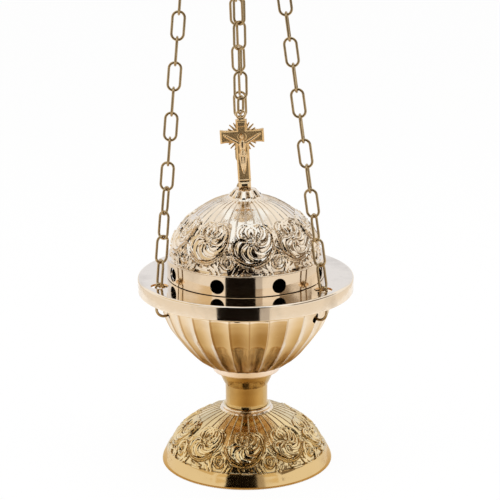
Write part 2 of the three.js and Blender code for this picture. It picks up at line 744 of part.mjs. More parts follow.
addPart('swivel_eye', joined(swivelPin, swivelEye.rotateX(Math.PI / 40).translate(0, 0, swivelEyeLevel)),
  polishedBrass).position.copy(plateCentre);

// Hanging ring: it stands upright through the eye.
const hangingRingBottom = swivelEyeLevel + swivelEyeRadius - swivelEyeWire / 2 - gap - hangingRingWire / 2;
const hangingRingLevel = hangingRingBottom + hangingRingRadius;
const hangLevel = hangingRingLevel + hangingRingRadius - hangingRingWire / 2;
const hangingRing = new THREE.TorusGeometry(hangingRingRadius, hangingRingWire / 2, 8, 32).rotateX(Math.PI / 2);
const ringMesh = addPart('hanging_ring', hangingRing, polishedBrass);
ringMesh.position.set(plateCentre.x, 0, hangingRingLevel);

parts.position.set(plateOffset, 0, -hangLevel);

export default parts;
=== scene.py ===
# A hanging incense burner in polished brass: fluted bowl on a domed foot, pierced and embossed lid with a
# crucifix, three chains to a top plate, and a bow with a swivel and a ring. Outlines are in mm, and MM makes
# metres of them.
import math

import bpy
import numpy as np
from mathutils import Matrix, Vector


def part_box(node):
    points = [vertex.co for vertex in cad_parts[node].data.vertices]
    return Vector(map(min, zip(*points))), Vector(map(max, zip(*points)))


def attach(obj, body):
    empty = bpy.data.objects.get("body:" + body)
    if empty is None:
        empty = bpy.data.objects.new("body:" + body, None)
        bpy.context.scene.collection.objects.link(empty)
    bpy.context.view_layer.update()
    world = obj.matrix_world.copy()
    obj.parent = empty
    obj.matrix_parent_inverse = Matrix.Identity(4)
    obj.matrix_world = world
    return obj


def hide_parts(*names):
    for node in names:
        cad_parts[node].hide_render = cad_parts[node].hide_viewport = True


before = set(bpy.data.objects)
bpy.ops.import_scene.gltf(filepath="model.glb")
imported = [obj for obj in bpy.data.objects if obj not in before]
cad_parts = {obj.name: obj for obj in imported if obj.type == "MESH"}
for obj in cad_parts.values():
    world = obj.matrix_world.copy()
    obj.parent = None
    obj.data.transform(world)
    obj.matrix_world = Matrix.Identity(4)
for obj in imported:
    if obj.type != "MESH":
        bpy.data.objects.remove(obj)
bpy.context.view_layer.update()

# The camera stands in front of the burner, a little above its rim, and looks slightly down.
# The burner's axis is beside the frame's origin, because the top plate hangs a little to one side.
MM = 0.001
foot_low, foot_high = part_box("foot")
rim_low, rim_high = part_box("rim_ring")
AXIS_X = (foot_low.x + foot_high.x) / 2
SEAT_HEIGHT = 1.0 * MM
RIM_LEVEL = rim_high.z - SEAT_HEIGHT
FLOOR_LEVEL = foot_low.z

IMAGE_SIZE = 500
FOCAL_PIXELS = 1848
CAMERA_DISTANCE = 902 * MM
CAMERA_ABOVE_RIM = 274 * MM
CAMERA_RIGHT = 2.3 * MM
CAMERA_PITCH = math.radians(16.15)
CAMERA_ROLL = math.radians(0.39)

camera_data = bpy.data.cameras.new("photo_camera")
camera_data.sensor_width = 36
camera_data.lens = camera_data.sensor_width * FOCAL_PIXELS / IMAGE_SIZE
camera = bpy.data.objects.new("photo_camera", camera_data)
camera.location = (AXIS_X + CAMERA_RIGHT, -CAMERA_DISTANCE, RIM_LEVEL + CAMERA_ABOVE_RIM)
camera.matrix_world = (Matrix.Translation(camera.location)
                       @ Matrix.Rotation(math.pi / 2 - CAMERA_PITCH, 4, "X")
                       @ Matrix.Rotation(-CAMERA_ROLL, 4, "Z"))
bpy.context.scene.collection.objects.link(camera)
bpy.context.scene.camera = camera


# Foot: a domed shell, pressed from brass sheet over a carved die, on a plain flared band that it stands on.
# Short flutes run down from the stem, and a ring of scroll roundels goes round its lower half.
def set_inputs(node, values):
    """Give the inputs of a shader node their plain values."""
    for socket, value in values.items():
        node.inputs[socket].default_value = value


def add_node(tree, kind, inputs=None, **settings):
    """A shader node with its settings and its plain inputs."""
    node = tree.nodes.new(f"ShaderNode{kind}")
    for name, value in settings.items():
        setattr(node, name, value)
    set_inputs(node, inputs or {})
    return node


def join(tree, *links):
    """Link shader nodes: each link is a node, its output, the next node and its input."""
    for source, output, target, socket in links:
        tree.links.new(source.outputs[output], target.inputs[socket])


def new_material(name):
    """A material, its node tree and its main shader."""
    material = bpy.data.materials.new(name)
    material.use_nodes = True
    return material, material.node_tree, material.node_tree.nodes["Principled BSDF"]


def polished_brass(name, colour, stain_and_shade_colour, roughness=0.1, wear=1.0, ripple=0.02):
    """Metal with fine polishing lines, soft stains, and painted shade that makes it darker and duller."""
    material, tree, shader = new_material(name)
    set_inputs(shader, {"Metallic": 1})
    place = add_node(tree, "TexCoord")
    stains = add_node(tree, "TexNoise", {"Scale": 55, "Detail": 5})
    lines = add_node(tree, "TexNoise", {"Scale": 900, "Detail": 3})
    # Painted shade from a point attribute and real stains from noise both darken and dull the tone.
    painted_shade = add_node(tree, "Attribute", attribute_name="painted_shade")
    stained = add_node(tree, "MapRange", {"From Min": 0.5, "From Max": 0.8, "To Max": 0.35 * wear})
    dark = add_node(tree, "Math", operation="MAXIMUM")
    tone = add_node(tree, "Mix", {"A": (*colour, 1), "B": (*stain_and_shade_colour, 1)}, data_type="RGBA")
    dull = add_node(tree, "Math", {1: 0.16, 2: roughness}, operation="MULTIPLY_ADD")
    grain = add_node(tree, "Bump", {"Strength": 0.05 * wear, "Distance": 0.05 * MM})
    swell = add_node(tree, "Bump", {"Strength": ripple, "Distance": 2 * MM})
    join(tree, (place, "Object", stains, "Vector"), (place, "Object", lines, "Vector"),
         (stains, "Fac", stained, "Value"), (stained, "Result", dark, 1), (painted_shade, "Fac", dark, 0),
         (dark, "Value", tone, "Factor"), (dark, "Value", dull, 0), (tone, "Result", shader, "Base Color"),
         (dull, "Value", shader, "Roughness"), (lines, "Fac", grain, "Height"),
         (stains, "Fac", swell, "Height"), (grain, "Normal", swell, "Normal"),
         (swell, "Normal", shader, "Normal"))
    return material


# pale_brass is the same brass painted paler, as light, for the bright upper pieces and the foot's lip.
gold_brass = polished_brass("gold_brass", (0.82, 0.63, 0.34), (0.08, 0.04, 0.015))
band_brass = polished_brass("band_brass", (0.75, 0.53, 0.25), (0.3, 0.17, 0.06))
pale_brass = polished_brass("pale_brass", (0.89, 0.76, 0.60), (0.2, 0.135, 0.08), roughness=0.07)


def shade_smooth(mesh, sharp_from=None):
    """Round shading, with sharp edges where faces turn by more than some degrees."""
    mesh.polygons.foreach_set("use_smooth", np.ones(len(mesh.polygons), bool))
    if sharp_from:
        mesh.set_sharp_from_angle(angle=math.radians(sharp_from))


def paint_shade(mesh, shade_amount):
    """Painted shade at each point: how much darker and duller the brass is made there."""
    mesh.attributes.new("painted_shade", "FLOAT", "POINT").data.foreach_set("value", shade_amount.astype(np.float32).ravel())


def add_piece(name, points, faces, material, body, slot, *nodes, painted_shade=None):
    """One mesh object that rides on a body and stands for CAD nodes."""
    mesh = bpy.data.meshes.new(name)
    faces = np.asarray(faces)
    mesh.vertices.add(len(points))
    mesh.vertices.foreach_set("co", np.asarray(points, np.float32).ravel())
    mesh.loops.add(faces.size)
    mesh.loops.foreach_set("vertex_index", faces.astype(np.int32).ravel())
    mesh.polygons.add(len(faces))
    mesh.polygons.foreach_set("loop_start", np.arange(0, faces.size, faces.shape[1], dtype=np.int32))
    mesh.update(calc_edges=True)
    mesh.validate()
    shade_smooth(mesh, sharp_from=40)
    if painted_shade is not None:
        paint_shade(mesh, painted_shade)
    mesh.materials.append(material)
    piece = bpy.data.objects.new(name, mesh)
    bpy.context.scene.collection.objects.link(piece)
    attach(piece, body)
    if nodes:
        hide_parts(*nodes)
    return piece


def blacken(piece, rows, columns, material):
    """Give the faces above some rows of a turned piece another material."""
    index = np.zeros(len(piece.data.polygons), np.int32)
    piece.data.polygons.foreach_get("material_index", index)
    for row in rows:
        index[row * columns:(row + 1) * columns] = len(piece.data.materials)
    piece.data.materials.append(material)
    piece.data.polygons.foreach_set("material_index", index)


def ring_faces(rows, columns, closed=True):
    """Four-sided faces between rows of points that each go once round."""
    row = np.arange(rows if closed else rows - 1)
    column = np.arange(columns)
    i, j = np.meshgrid(row, column, indexing="ij")
    up, on = (i + 1) % rows, (j + 1) % columns
    corners = [i * columns + j, i * columns + on, up * columns + on, up * columns + j]
    return np.stack(corners, -1).reshape(-1, 4)


def once_round(count):
    """Even angles that go once round."""
    return np.arange(count) * 2 * math.pi / count


def about_axis(radius, level, angle):
    """Points about the burner's axis: radius and level above the rim in mm, angle from the front."""
    radius, level, angle = np.broadcast_arrays(radius, level, angle)
    return np.stack([AXIS_X + radius * np.sin(angle) * MM, -radius * np.cos(angle) * MM,
                     RIM_LEVEL + level * MM], -1).reshape(-1, 3)


def spin(outline, columns, lift=None):
    """Points of a turned shape: outline is radius and level above the rim, lift moves them outwards."""
    outline = np.asarray(outline, float)
    radius, level = outline[:, :1], outline[:, 1:]
    if lift is not None:
        after, before = np.roll(outline, -1, 0), np.roll(outline, 1, 0)
        along = after - before
        along /= np.maximum(np.linalg.norm(along, axis=1, keepdims=True), 1e-9)
        radius = radius + along[:, 1:] * lift
        level = level - along[:, :1] * lift
    return about_axis(radius, level, once_round(columns))


def add_turned(name, outline, columns, material, body, slot, *nodes, lift=None, painted_shade=None, centre=None):
    """A piece turned about the burner's axis, or about another upright line that centre gives in mm."""
    points = spin(outline, columns, lift)
    if centre is not None:
        points = points + np.array([centre[0] * MM - AXIS_X, centre[1] * MM, 0])
    return add_piece(name, points, ring_faces(len(outline), columns), material, body, slot, *nodes, painted_shade=painted_shade)


def smooth_line(knots, step):
    """A line through all the knots, cut into pieces of about one step."""
    knots = np.asarray(knots, float)
    ends = np.vstack([2 * knots[0] - knots[1], knots, 2 * knots[-1] - knots[-2]])
    line = []
    for a, b, c, d in zip(ends, ends[1:], ends[2:], ends[3:]):
        t = np.linspace(0, 1, max(2, int(np.linalg.norm(c - b) / step) + 1))[:-1, None]
        line.append(0.5 * (2 * b + (c - a) * t + (2 * a - 5 * b + 4 * c - d) * t ** 2
                           + (3 * b - a - 3 * c + d) * t ** 3))
    return np.vstack([*line, knots[-1:]])


def arc(centre, radius, degrees):
    """Points of a circle in the plane at some angles from its first axis."""
    return [(centre[0] + radius * math.cos(a), centre[1] + radius * math.sin(a)) for a in np.radians(degrees)]


RELIEF_STEP = 0.3
PRESSED_IN = 0.9
ROUNDEL_RADIUS = 11.6
ROUNDELS = 9
RELIEF_COLUMNS = 900
TILE_COLUMNS = RELIEF_COLUMNS // ROUNDELS


def polar_knots(*places):
    """Points of the plane from radius and angle in degrees."""
    return [(reach * math.cos(math.radians(a)), reach * math.sin(math.radians(a))) for reach, a in places]


def raise_leaf(relief, x, v, knots, width, height, widest=0.4, lobes=0, scoop=0.0, vein=0.0):
    """Raise a curved leaf along a line: round in section, or hollow with raised edges, with a pointed end."""
    line = smooth_line(knots, 0.35)
    steps = np.concatenate([[0], np.cumsum(np.linalg.norm(np.diff(line, axis=0), axis=1))])
    share = steps / steps[-1]
    near = (np.abs(x - line[:, 0].mean()) < np.ptp(line[:, 0]) / 2 + 2 * width) & (
        np.abs(v - line[:, 1].mean()) < np.ptp(line[:, 1]) / 2 + 2 * width)
    if not near.any():
        return
    square = (x[near][:, None] - line[:, 0]) ** 2 + (v[near][:, None] - line[:, 1]) ** 2
    nearest = square.argmin(1)
    off = np.sqrt(square[np.arange(len(nearest)), nearest])
    along = share[nearest]
    grow = np.where(along < widest, 0.45 + 0.55 * along / widest, ((1 - along) / (1 - widest)) ** 0.7)
    half = width * np.maximum(grow, 0.08)
    if lobes:
        half = half * (0.68 + 0.32 * np.abs(np.sin(lobes * math.pi * along)))
    across = off / half
    body = height * np.sqrt(np.clip(1 - across ** 2, 0, 1))
    rim = height * (1 - scoop + scoop * across ** 2) * (across < 1)
    groove = vein * np.exp(-(off / 0.22) ** 2) * (across < 1)
    shape = np.where(across < 1, (1 - scoop) * body + scoop * rim, 0) - groove
    relief[near] = np.maximum(relief[near], shape)


def ring_ridge(distance, radius, half_width, height):
    """Heights of a ridge that follows a circle."""
    return height * np.exp(-((distance - radius) / half_width) ** 2)


def bead(distance, radius, height):
    """Heights of a round bead."""
    return height * np.sqrt(np.clip(1 - (distance / radius) ** 2, 0, 1))


def embossed(line, centre_along, scale, centre_azimuth, flutes, flute_depth, flute_fade, seed):
    """Ring of roundels under a fan of flutes: heights in mm, and painted shade in its hollows and ribs."""
    steps = np.concatenate([[0], np.cumsum(np.linalg.norm(np.diff(line, axis=0), axis=1))])
    half_turn = math.pi / ROUNDELS
    angle = (np.arange(TILE_COLUMNS) - TILE_COLUMNS / 2) * 2 * half_turn / TILE_COLUMNS
    radius = np.repeat(line[:, :1], TILE_COLUMNS, 1)
    x = angle * radius / scale
    v = np.repeat((steps[:, None] - centre_along) / scale, TILE_COLUMNS, 1)
    side = (angle - np.where(angle > 0, half_turn, -half_turn)) * radius / scale
    from_centre = np.hypot(x, v)
    low = v < 0
    bottom = v[0, 0]

    scroll = np.zeros_like(x)
    for start, sweep, reach, width in ((158, -56, 10.6, 2.0), (112, -48, 11.4, 2.2), (68, 48, 11.2, 2.2),
                                       (22, 44, 10.2, 1.9)):
        leaf = polar_knots((3.8, start), (6.4, start + 0.12 * sweep), (8.8, start + 0.5 * sweep),
                           (reach, start + sweep))
        raise_leaf(scroll, x, v, leaf, width, 1.4, widest=0.5, lobes=2, scoop=0.6, vein=0.5)
    for start, width in ((176, 1.9), (218, 2.4), (262, 2.5), (306, 2.1), (346, 1.6)):
        leaf = polar_knots((2.8, start - 10), (5.6, start - 4), (7.8, start + 14), (9.4, start + 38),
                           (10.2, start + 60))
        raise_leaf(scroll, x, v, leaf, width, 2.1, scoop=0.65, vein=0.5)
    flower_x, flower_v = x - 1.3, v + 0.2
    for start in range(0, 360, 72):
        petal = polar_knots((1.1, start + 8), (2.4, start + 12), (3.7, start + 30))
        raise_leaf(scroll, flower_x, flower_v, petal, 1.35, 1.0, widest=0.6, scoop=0.4, vein=0.3)
    scroll = np.maximum(scroll, bead(np.hypot(flower_x, flower_v), 1.3, 1.4))

    spandrel = ring_ridge(np.hypot(side - 0.2, (v + 10.4) * 0.92), 3.1, 0.55, 1.1)
    curl = [(2.0, -8.6), (0.2, -7.9), (-1.4, -9.8), (-0.6, -12.0), (1.2, -11.6)]
    raise_leaf(spandrel, side, v, curl, 0.6, 1.0)
    spandrel = np.maximum(spandrel, bead(np.hypot(side - 0.3, v + 10.2), 0.8, 1.1))
    for mirror in (-1, 1):
        for width, height, leaf in (
                (1.0, 1.2, [(0.4, -4.4), (2.6, -6.4), (4.2, -9.4), (4.6, bottom + 2.4)]),
                (1.2, 1.2, [(3.4, bottom + 0.5), (5.4, -13.4), (6.2, -11.4), (5.8, -9.6)]),
                (1.3, 1.1, [(5.8, bottom + 0.5), (8.0, -14.0), (8.8, -12.9), (9.0, -11.9)])):
            raise_leaf(spandrel, mirror * side, v, leaf, width, height, scoop=0.5)
    low_leaf = [(4.6, bottom + 0.6), (1.2, bottom + 0.9), (-2.0, bottom + 2.0), (-3.6, bottom + 3.6)]
    raise_leaf(spandrel, x, v, low_leaf, 1.3, 1.3, scoop=0.6)
    short_leaf = [(4.8, bottom + 2.4), (2.4, bottom + 2.3), (0.4, bottom + 3.0), (-0.8, bottom + 3.9)]
    raise_leaf(spandrel, x, v, short_leaf, 1.0, 1.1, scoop=0.5)

    ribs = (angle * flutes / (2 * math.pi) + 0.5) % 1
    spread = np.clip(radius / radius.max(), 0.2, 1)
    rib_edge = 0.12 * np.exp(-((0.5 - np.abs(ribs - 0.5)) / 0.05) ** 2)
    fan = -flute_depth * spread * (1 - (2 * ribs - 1) ** 2) + rib_edge
    to_top = (steps[-1] - steps[:, None]) / scale
    fan = fan * np.clip(to_top / flute_fade, 0, 1)

    frame_share = np.clip(1.2 + 2.2 * (0.55 * x - 0.83 * v) / np.maximum(from_centre, 1e-3), 0, 1)
    frames = ring_ridge(from_centre, 11.3, 0.45, 1.3) + ring_ridge(from_centre, 12.6, 0.45, 1.1)
    relief = np.where(from_centre < ROUNDEL_RADIUS, scroll - 0.6, np.where(low, spandrel - 0.4, fan))
    relief = np.where(~low & (from_centre > 7), np.maximum(fan, 0.65 * scroll - 0.2), relief)
    relief = relief + frame_share * frames - PRESSED_IN
    relief = relief * scale * np.clip((v - bottom) / 0.8, 0, 1) * np.clip(to_top / 1.5, 0, 1)

    whole = np.tile(relief, (1, ROUNDELS))
    stipple = np.random.default_rng(seed).normal(0, 1, whole.shape)
    stipple = sum(np.roll(stipple, (i, j), (0, 1)) for i in (0, 1) for j in (0, 1)) / 2
    ground = np.tile((low | (from_centre < 11)) & (relief < -(PRESSED_IN + 0.4) * scale), (1, ROUNDELS))
    whole = whole + stipple * np.where(ground, 0.14, 0.01)
    # Painted shade: points below their neighbours get darker, and dark lines follow the flute ribs.
    around = sum(np.roll(whole, (i, j), (0, 1)) for i in range(-2, 3) for j in range(-2, 3)) / 25
    shade_amount = 0.62 * np.clip((around - whole - 0.04) / 0.18, 0, 1)
    rib_shade = np.exp(-((np.abs(ribs - 0.5) - 0.43) / 0.05) ** 2) * (from_centre > ROUNDEL_RADIUS) * ~low
    rib_shade = rib_shade * np.clip(to_top / 2, 0, 1)
    shade_amount = np.clip(shade_amount + 0.65 * np.tile(rib_shade, (1, ROUNDELS)), 0, 1)
    start = round(math.radians(centre_azimuth) * RELIEF_COLUMNS / (2 * math.pi)) - TILE_COLUMNS // 2
    return np.roll(whole, start, 1), np.roll(shade_amount, start, 1)


def on_rows(outline, line, values):
    """Values of one stretch of an outline, with zero on its other rows."""
    whole = np.zeros((len(outline), values.shape[1]))
    first = int(np.argmin(np.linalg.norm(np.asarray(outline) - line[0], axis=1)))
    whole[first:first + len(line)] = values
    return whole


foot_edge = [(42.4, -100), (43.9, -100), (44.2, -99.7)]
foot_band = smooth_line([(44.2, -99.4), (43.9, -98.2), (42.6, -95.4), (41.9, -93.9), (41.3, -92.9)],
                        RELIEF_STEP)
foot_dome = smooth_line([(41.3, -92.9), (40.7, -92.1), (39.9, -90.7), (37.3, -86), (32.6, -81.3),
                         (26.6, -77.0), (22.0, -74.4), (17.5, -72.5), (14.4, -71.5), (13.0, -71.2)],
                        RELIEF_STEP)
foot_lip = arc((12, -70.5), 0.7, range(-70, 91, 20))
foot_inside = [(2.3, -69.8), (2.3, -70.15), (4.8, -70.15), (5.4, -71.6), (12, -72.6), (19.5, -76.4),
               (30, -83.4), (36.6, -89.4), (39.6, -94), (41.6, -97)]
foot_outline = [*foot_edge, *foot_band, *foot_dome[1:], *foot_lip, *foot_inside]
# The foot's relief carries painted shade in its hollows and on its flute ribs.
foot_relief, foot_shade = embossed(foot_dome, centre_along=14.7, scale=0.86, centre_azimuth=-2.3,
                                   flutes=36, flute_depth=1.1, flute_fade=1.5, seed=3)
foot = add_turned("foot_shell", foot_outline, RELIEF_COLUMNS, gold_brass, "burner", "polished_brass", "foot",
                  lift=on_rows(foot_outline, foot_dome, foot_relief),
                  painted_shade=on_rows(foot_outline, foot_dome, foot_shade))
band_rows = len(foot_edge) + len(foot_band) - 1
blacken(foot, range(band_rows), RELIEF_COLUMNS, band_brass)
# The lip round the stem is painted a paler brass as a highlight.
LIP_OVERLAP = 3
lip_start = band_rows + len(foot_dome) - 1 - LIP_OVERLAP
blacken(foot, range(lip_start, lip_start + LIP_OVERLAP + len(foot_lip)), RELIEF_COLUMNS, pale_brass)


# Stem: turned from brass bar with a ring collar, a tapered cup and a plain neck. It stands on the foot,
# carries the bowl, and the long bolt runs through its bore.
# The stem is painted a dark amber brass as shade, and its collar a paler rosy brass as light.
amber_brass = polished_brass("amber_brass", (0.62, 0.41, 0.16), (0.14, 0.06, 0.02), roughness=0.12)
rosy_brass = polished_brass("rosy_brass", (0.90, 0.74, 0.60), (0.3, 0.16, 0.08), roughness=0.16)
STEM_COLUMNS, STEM_STEP = 180, 0.3
collar_line = [(17.0, -46.8), (17.2, -47.0), (17.3, -47.3), (17.3, -47.6), (17.3, -49.9), (17.3, -50.2),
               (17.2, -50.5), (17.0, -50.7)]
cup_line = smooth_line([(13.8, -50.7), (13.7, -52), (13.1, -54.2), (12.1, -56.6), (11.2, -58.4)], STEM_STEP)
neck_line = smooth_line([(10.9, -59.1), (10.85, -63), (10.85, -67.4), (10.9, -68.5), (11.1, -69.6)],
                        STEM_STEP)
stem_outline = [(2.3, -46.8), *collar_line, *cup_line, (10.9, -58.6), *neck_line, (2.3, -69.7)]
stem = add_turned("stem_turned", stem_outline, STEM_COLUMNS, amber_brass, "burner", "polished_brass", "stem")
blacken(stem, range(1, len(collar_line) + 1), STEM_COLUMNS, rosy_brass)


# Bowl: cast brass with a plain wall under the rim, and below it concave flutes that meet in sharp edges.
# Three vents and three hook holes go through the wall; the inside is left rough and painted black as shade.
bowl_brass = polished_brass("bowl_brass", (0.87, 0.72, 0.53), (0.43, 0.23, 0.05))


def add_mesh(name, points, faces, material=None):
    """A mesh object from its points and faces, as it is."""
    mesh = bpy.data.meshes.new(name)
    mesh.from_pydata(points, [], faces)
    if material:
        mesh.materials.append(material)
    whole = bpy.data.objects.new(name, mesh)
    bpy.context.scene.collection.objects.link(whole)
    return whole


def bore(name, radius, azimuth, level, start, length, upright=False):
    """A round cutter: flat and pointing outwards at an azimuth, or upright at a radius of start."""
    angle = math.radians(azimuth)
    outwards = Vector((math.sin(angle), -math.cos(angle), 0))
    reach = start if upright else start + length / 2
    centre = Vector((AXIS_X, 0, RIM_LEVEL + level * MM)) + outwards * reach * MM
    turn = Matrix() if upright else Vector((0, 0, 1)).rotation_difference(outwards).to_matrix().to_4x4()
    sides = 64
    circle = arc((0, 0), radius * MM, np.arange(sides) * 360 / sides)
    points = [Matrix.Translation(centre) @ turn @ Vector((x, y, z * length / 2 * MM))
              for z in (-1, 1) for x, y in circle]
    wall = [(i, (i + 1) % sides, sides + (i + 1) % sides, sides + i) for i in range(sides)]
    return add_mesh(name, points, [*wall, tuple(range(sides))[::-1], tuple(range(sides, 2 * sides))])


def apply_steps(piece):
    """Keep what its modifiers make of a piece."""
    bpy.context.view_layer.update()
    old = piece.data
    piece.data = bpy.data.meshes.new_from_object(piece.evaluated_get(bpy.context.evaluated_depsgraph_get()))
    piece.modifiers.clear()
    bpy.data.meshes.remove(old)


def pierce(piece, cutters):
    """Cut round holes into a piece."""
    for cutter in cutters:
        step = piece.modifiers.new(cutter.name, "BOOLEAN")
        step.operation = "DIFFERENCE"
        step.solver = "MANIFOLD"
        step.object = cutter
    apply_steps(piece)
    for cutter in cutters:
        bpy.data.objects.remove(cutter)
    piece.data.set_sharp_from_angle(angle=math.radians(35))


CHAIN_AZIMUTHS = {"left": -65.5, "right": 54.5, "back": 180}
RIM_RADIUS = (rim_high.x - rim_low.x) / 2 / MM
BOWL_TOP_RADIUS, BOWL_BOTTOM_RADIUS = RIM_RADIUS - 10.5, 19
FLUTE_TOP, BOWL_TOP, BOWL_BOTTOM = -12.2, -1.4, -46.5
FLUTES, FLUTE_DEPTH, FLUTE_COLUMNS = 28, 1.1, 24
bowl_curve = [(1, 0), (.969, .09), (.914, .22), (.812, .39), (.682, .53), (.533, .68), (.412, .79),
              (.259, .9), (.11, .985)]
BOLT_BORE, WALL_THICKNESS, FLANK_THICKNESS, INNER_CORNER = 2.3, 2.4, 2.6, 17.8
inner_floor = BOWL_BOTTOM + 1.4
bowl_knots = [(BOWL_BOTTOM_RADIUS + out * (BOWL_TOP_RADIUS - BOWL_BOTTOM_RADIUS),
               FLUTE_TOP + fall * (BOWL_BOTTOM - FLUTE_TOP)) for out, fall in bowl_curve]
flank = smooth_line(bowl_knots[::-1], 0.5)
bowl_wall = [(BOWL_TOP_RADIUS, level) for level in np.linspace(FLUTE_TOP, BOWL_TOP, 10)[1:]]
inner_bowl = [(BOWL_TOP_RADIUS - WALL_THICKNESS, BOWL_TOP), (BOWL_TOP_RADIUS - WALL_THICKNESS, FLUTE_TOP - 1),
              *[(max(radius - FLANK_THICKNESS, INNER_CORNER), max(level + 1.2, inner_floor))
                for radius, level in bowl_knots[1:-1]]]
bowl_outline = np.array([(BOLT_BORE, BOWL_BOTTOM), (BOWL_BOTTOM_RADIUS, BOWL_BOTTOM), *flank, *bowl_wall,
                         *inner_bowl, (INNER_CORNER, inner_floor), (BOLT_BORE, inner_floor)])
bowl_columns = FLUTES * FLUTE_COLUMNS
across_flute = ((np.arange(bowl_columns) - 3) % FLUTE_COLUMNS) / FLUTE_COLUMNS
hollow = 1 - (2 * across_flute - 1) ** 2
bowl_fall = (FLUTE_TOP - bowl_outline[:, 1]) / (FLUTE_TOP - BOWL_BOTTOM)
fade = np.clip(np.minimum((-4 - bowl_outline[:, 1]) / 3, (1 - bowl_fall) / 0.08), 0, 1)
fade[:2] = 0
inside_start = 2 + len(flank) + len(bowl_wall)
fade[inside_start:] = 0
# Painted reflection and shade: flutes darker towards the bottom, and a dark line along each flute edge.
low_reflection_shade = 0.8 * np.clip((bowl_fall - 0.46) / 0.32, 0, 1) ** 1.2
edge_shade = 0.7 * fade[:, None] * np.exp(-((across_flute - 0.06) / 0.04) ** 2)
bowl = add_turned("bowl_fluted", bowl_outline, bowl_columns, bowl_brass, "burner", "polished_brass", "bowl",
                  lift=-FLUTE_DEPTH * fade[:, None] * hollow, painted_shade=np.maximum(edge_shade, low_reflection_shade[:, None]))
# The insides of bowl and lid are painted near black as shade.
inside_shade = polished_brass("inside_shade", (0.05, 0.038, 0.028), (0.01, 0.008, 0.006), roughness=0.6, wear=2)
blacken(bowl, range(inside_start, len(bowl_outline) - 1), bowl_columns, inside_shade)
VENT_RADIUS, VENT_AZIMUTH, VENT_LEVEL, VENT_START, VENTS = 3.2, -5.5, -8.5, 40, 3
HOLE_RADIUS, HOLE_LEVEL, HOLE_START, CUT_LENGTH = 2.6, -15.7, 38, 14
pierce(bowl, [bore(f"vent_{i}", VENT_RADIUS, VENT_AZIMUTH + i * 360 / VENTS, VENT_LEVEL, VENT_START,
                   CUT_LENGTH) for i in range(VENTS)]
       + [bore(f"hook_hole_{side}", HOLE_RADIUS, azimuth, HOLE_LEVEL, HOLE_START, CUT_LENGTH)
          for side, azimuth in CHAIN_AZIMUTHS.items()])


# Rim: a flat ring, spun from sheet with its edge turned down as a skirt. The lid sits round its low seat,
# and each chain goes down through a round hole.
RIM_COLUMNS, RIM_SHEET, EDGE_ROUND, SKIRT_LOW = 540, 1.1, 1.2, -7.6
rim_seat = [(37.8, -RIM_SHEET), (37.8, 1), (38.7, 1), (38.7, 0), (39, 0), (RIM_RADIUS - 1.5, 0)]
edge_turn = arc((RIM_RADIUS - EDGE_ROUND, -EDGE_ROUND), EDGE_ROUND, range(90, -1, -10))
rim_skirt = [(RIM_RADIUS, -1.5), (RIM_RADIUS, -7.1), (RIM_RADIUS, -7.3), (RIM_RADIUS - .2, SKIRT_LOW),
             (RIM_RADIUS - .9, SKIRT_LOW), (RIM_RADIUS - RIM_SHEET, -7.3), (RIM_RADIUS - RIM_SHEET, -1.8),
             (RIM_RADIUS - 1.8, -RIM_SHEET)]
rim = add_turned("rim_spun", [*rim_seat, *edge_turn, *rim_skirt], RIM_COLUMNS, pale_brass, "burner",
                 "polished_brass", "rim_ring")
CHAIN_HOLE_RADIUS, CHAIN_CIRCLE = 4.5, RIM_RADIUS - 7.7
pierce(rim, [bore(f"chain_hole_{side}", CHAIN_HOLE_RADIUS, azimuth, 0, CHAIN_CIRCLE, 8, upright=True)
             for side, azimuth in CHAIN_AZIMUTHS.items()])


# Hooks: brass wire bent to an S. The upper bend goes through the lowest link of a chain, and the lower bend
# goes through the bowl's wall.
def tube(path, radius, sides=12, closed=False):
    """Points and faces of a round wire along a path."""
    path = np.asarray(path, float)
    if closed:
        along = np.roll(path, -1, 0) - np.roll(path, 1, 0)
    else:
        along = np.gradient(path, axis=0)
    along /= np.linalg.norm(along, axis=1, keepdims=True)
    normal = np.cross(along[0], [0.3, 0.5, 0.8])
    normals = []
    for direction in along:
        normal = normal - direction * np.dot(normal, direction)
        normal /= np.linalg.norm(normal)
        normals.append(normal)
    normals = np.array(normals)
    if closed:
        last = np.cross(along[0], normals[0])
        end = normals[-1] - along[0] * np.dot(normals[-1], along[0])
        slip = math.atan2(np.dot(end, last), np.dot(end, normals[0]))
        turn = -slip * np.arange(len(path)) / len(path)
        normals = normals * np.cos(turn)[:, None] + np.cross(along, normals) * np.sin(turn)[:, None]
    others = np.cross(along, normals)
    angle = once_round(sides)
    radius = np.broadcast_to(np.asarray(radius, float).reshape(-1, 1, 1), (len(path), 1, 1))
    points = (path[:, None] + radius * (normals[:, None] * np.cos(angle)[:, None]
                                        + others[:, None] * np.sin(angle)[:, None]))
    faces = ring_faces(len(path), sides, closed)
    return points.reshape(-1, 3), faces


def add_wire(name, path, radius, material, body, *nodes, slot="chain_brass", sides=12, closed=False):
    """A round wire with rounded ends, or a closed ring of wire."""
    path = np.asarray(path, float)
    thick = np.full(len(path), float(radius))
    if not closed:
        cap_angles = np.radians([4, 30, 60])
        rounding = np.sin(cap_angles)
        for end, toward in ((0, path[1] - path[0]), (-1, path[-2] - path[-1])):
            toward = toward / np.linalg.norm(toward)
            caps = [path[end] - toward * radius * math.cos(a) for a in cap_angles]
            if end == 0:
                path = np.vstack([caps, path])
                thick = np.concatenate([rounding * radius, thick])
            else:
                path = np.vstack([path, caps[::-1]])
                thick = np.concatenate([thick, rounding[::-1] * radius])
    points, faces = tube(path, thick, sides, closed)
    if not closed:
        count = len(points)
        points = np.vstack([points, path[:1], path[-1:]])
        around = [(i, (i + 1) % sides) for i in range(sides)]
        first = [(count, on, i, i) for i, on in around]
        last = [(count + 1, count - sides + i, count - sides + on, count - sides + on) for i, on in around]
        faces = [*map(tuple, faces), *first, *last]
    return add_piece(name, points, faces, material, body, slot, *nodes)
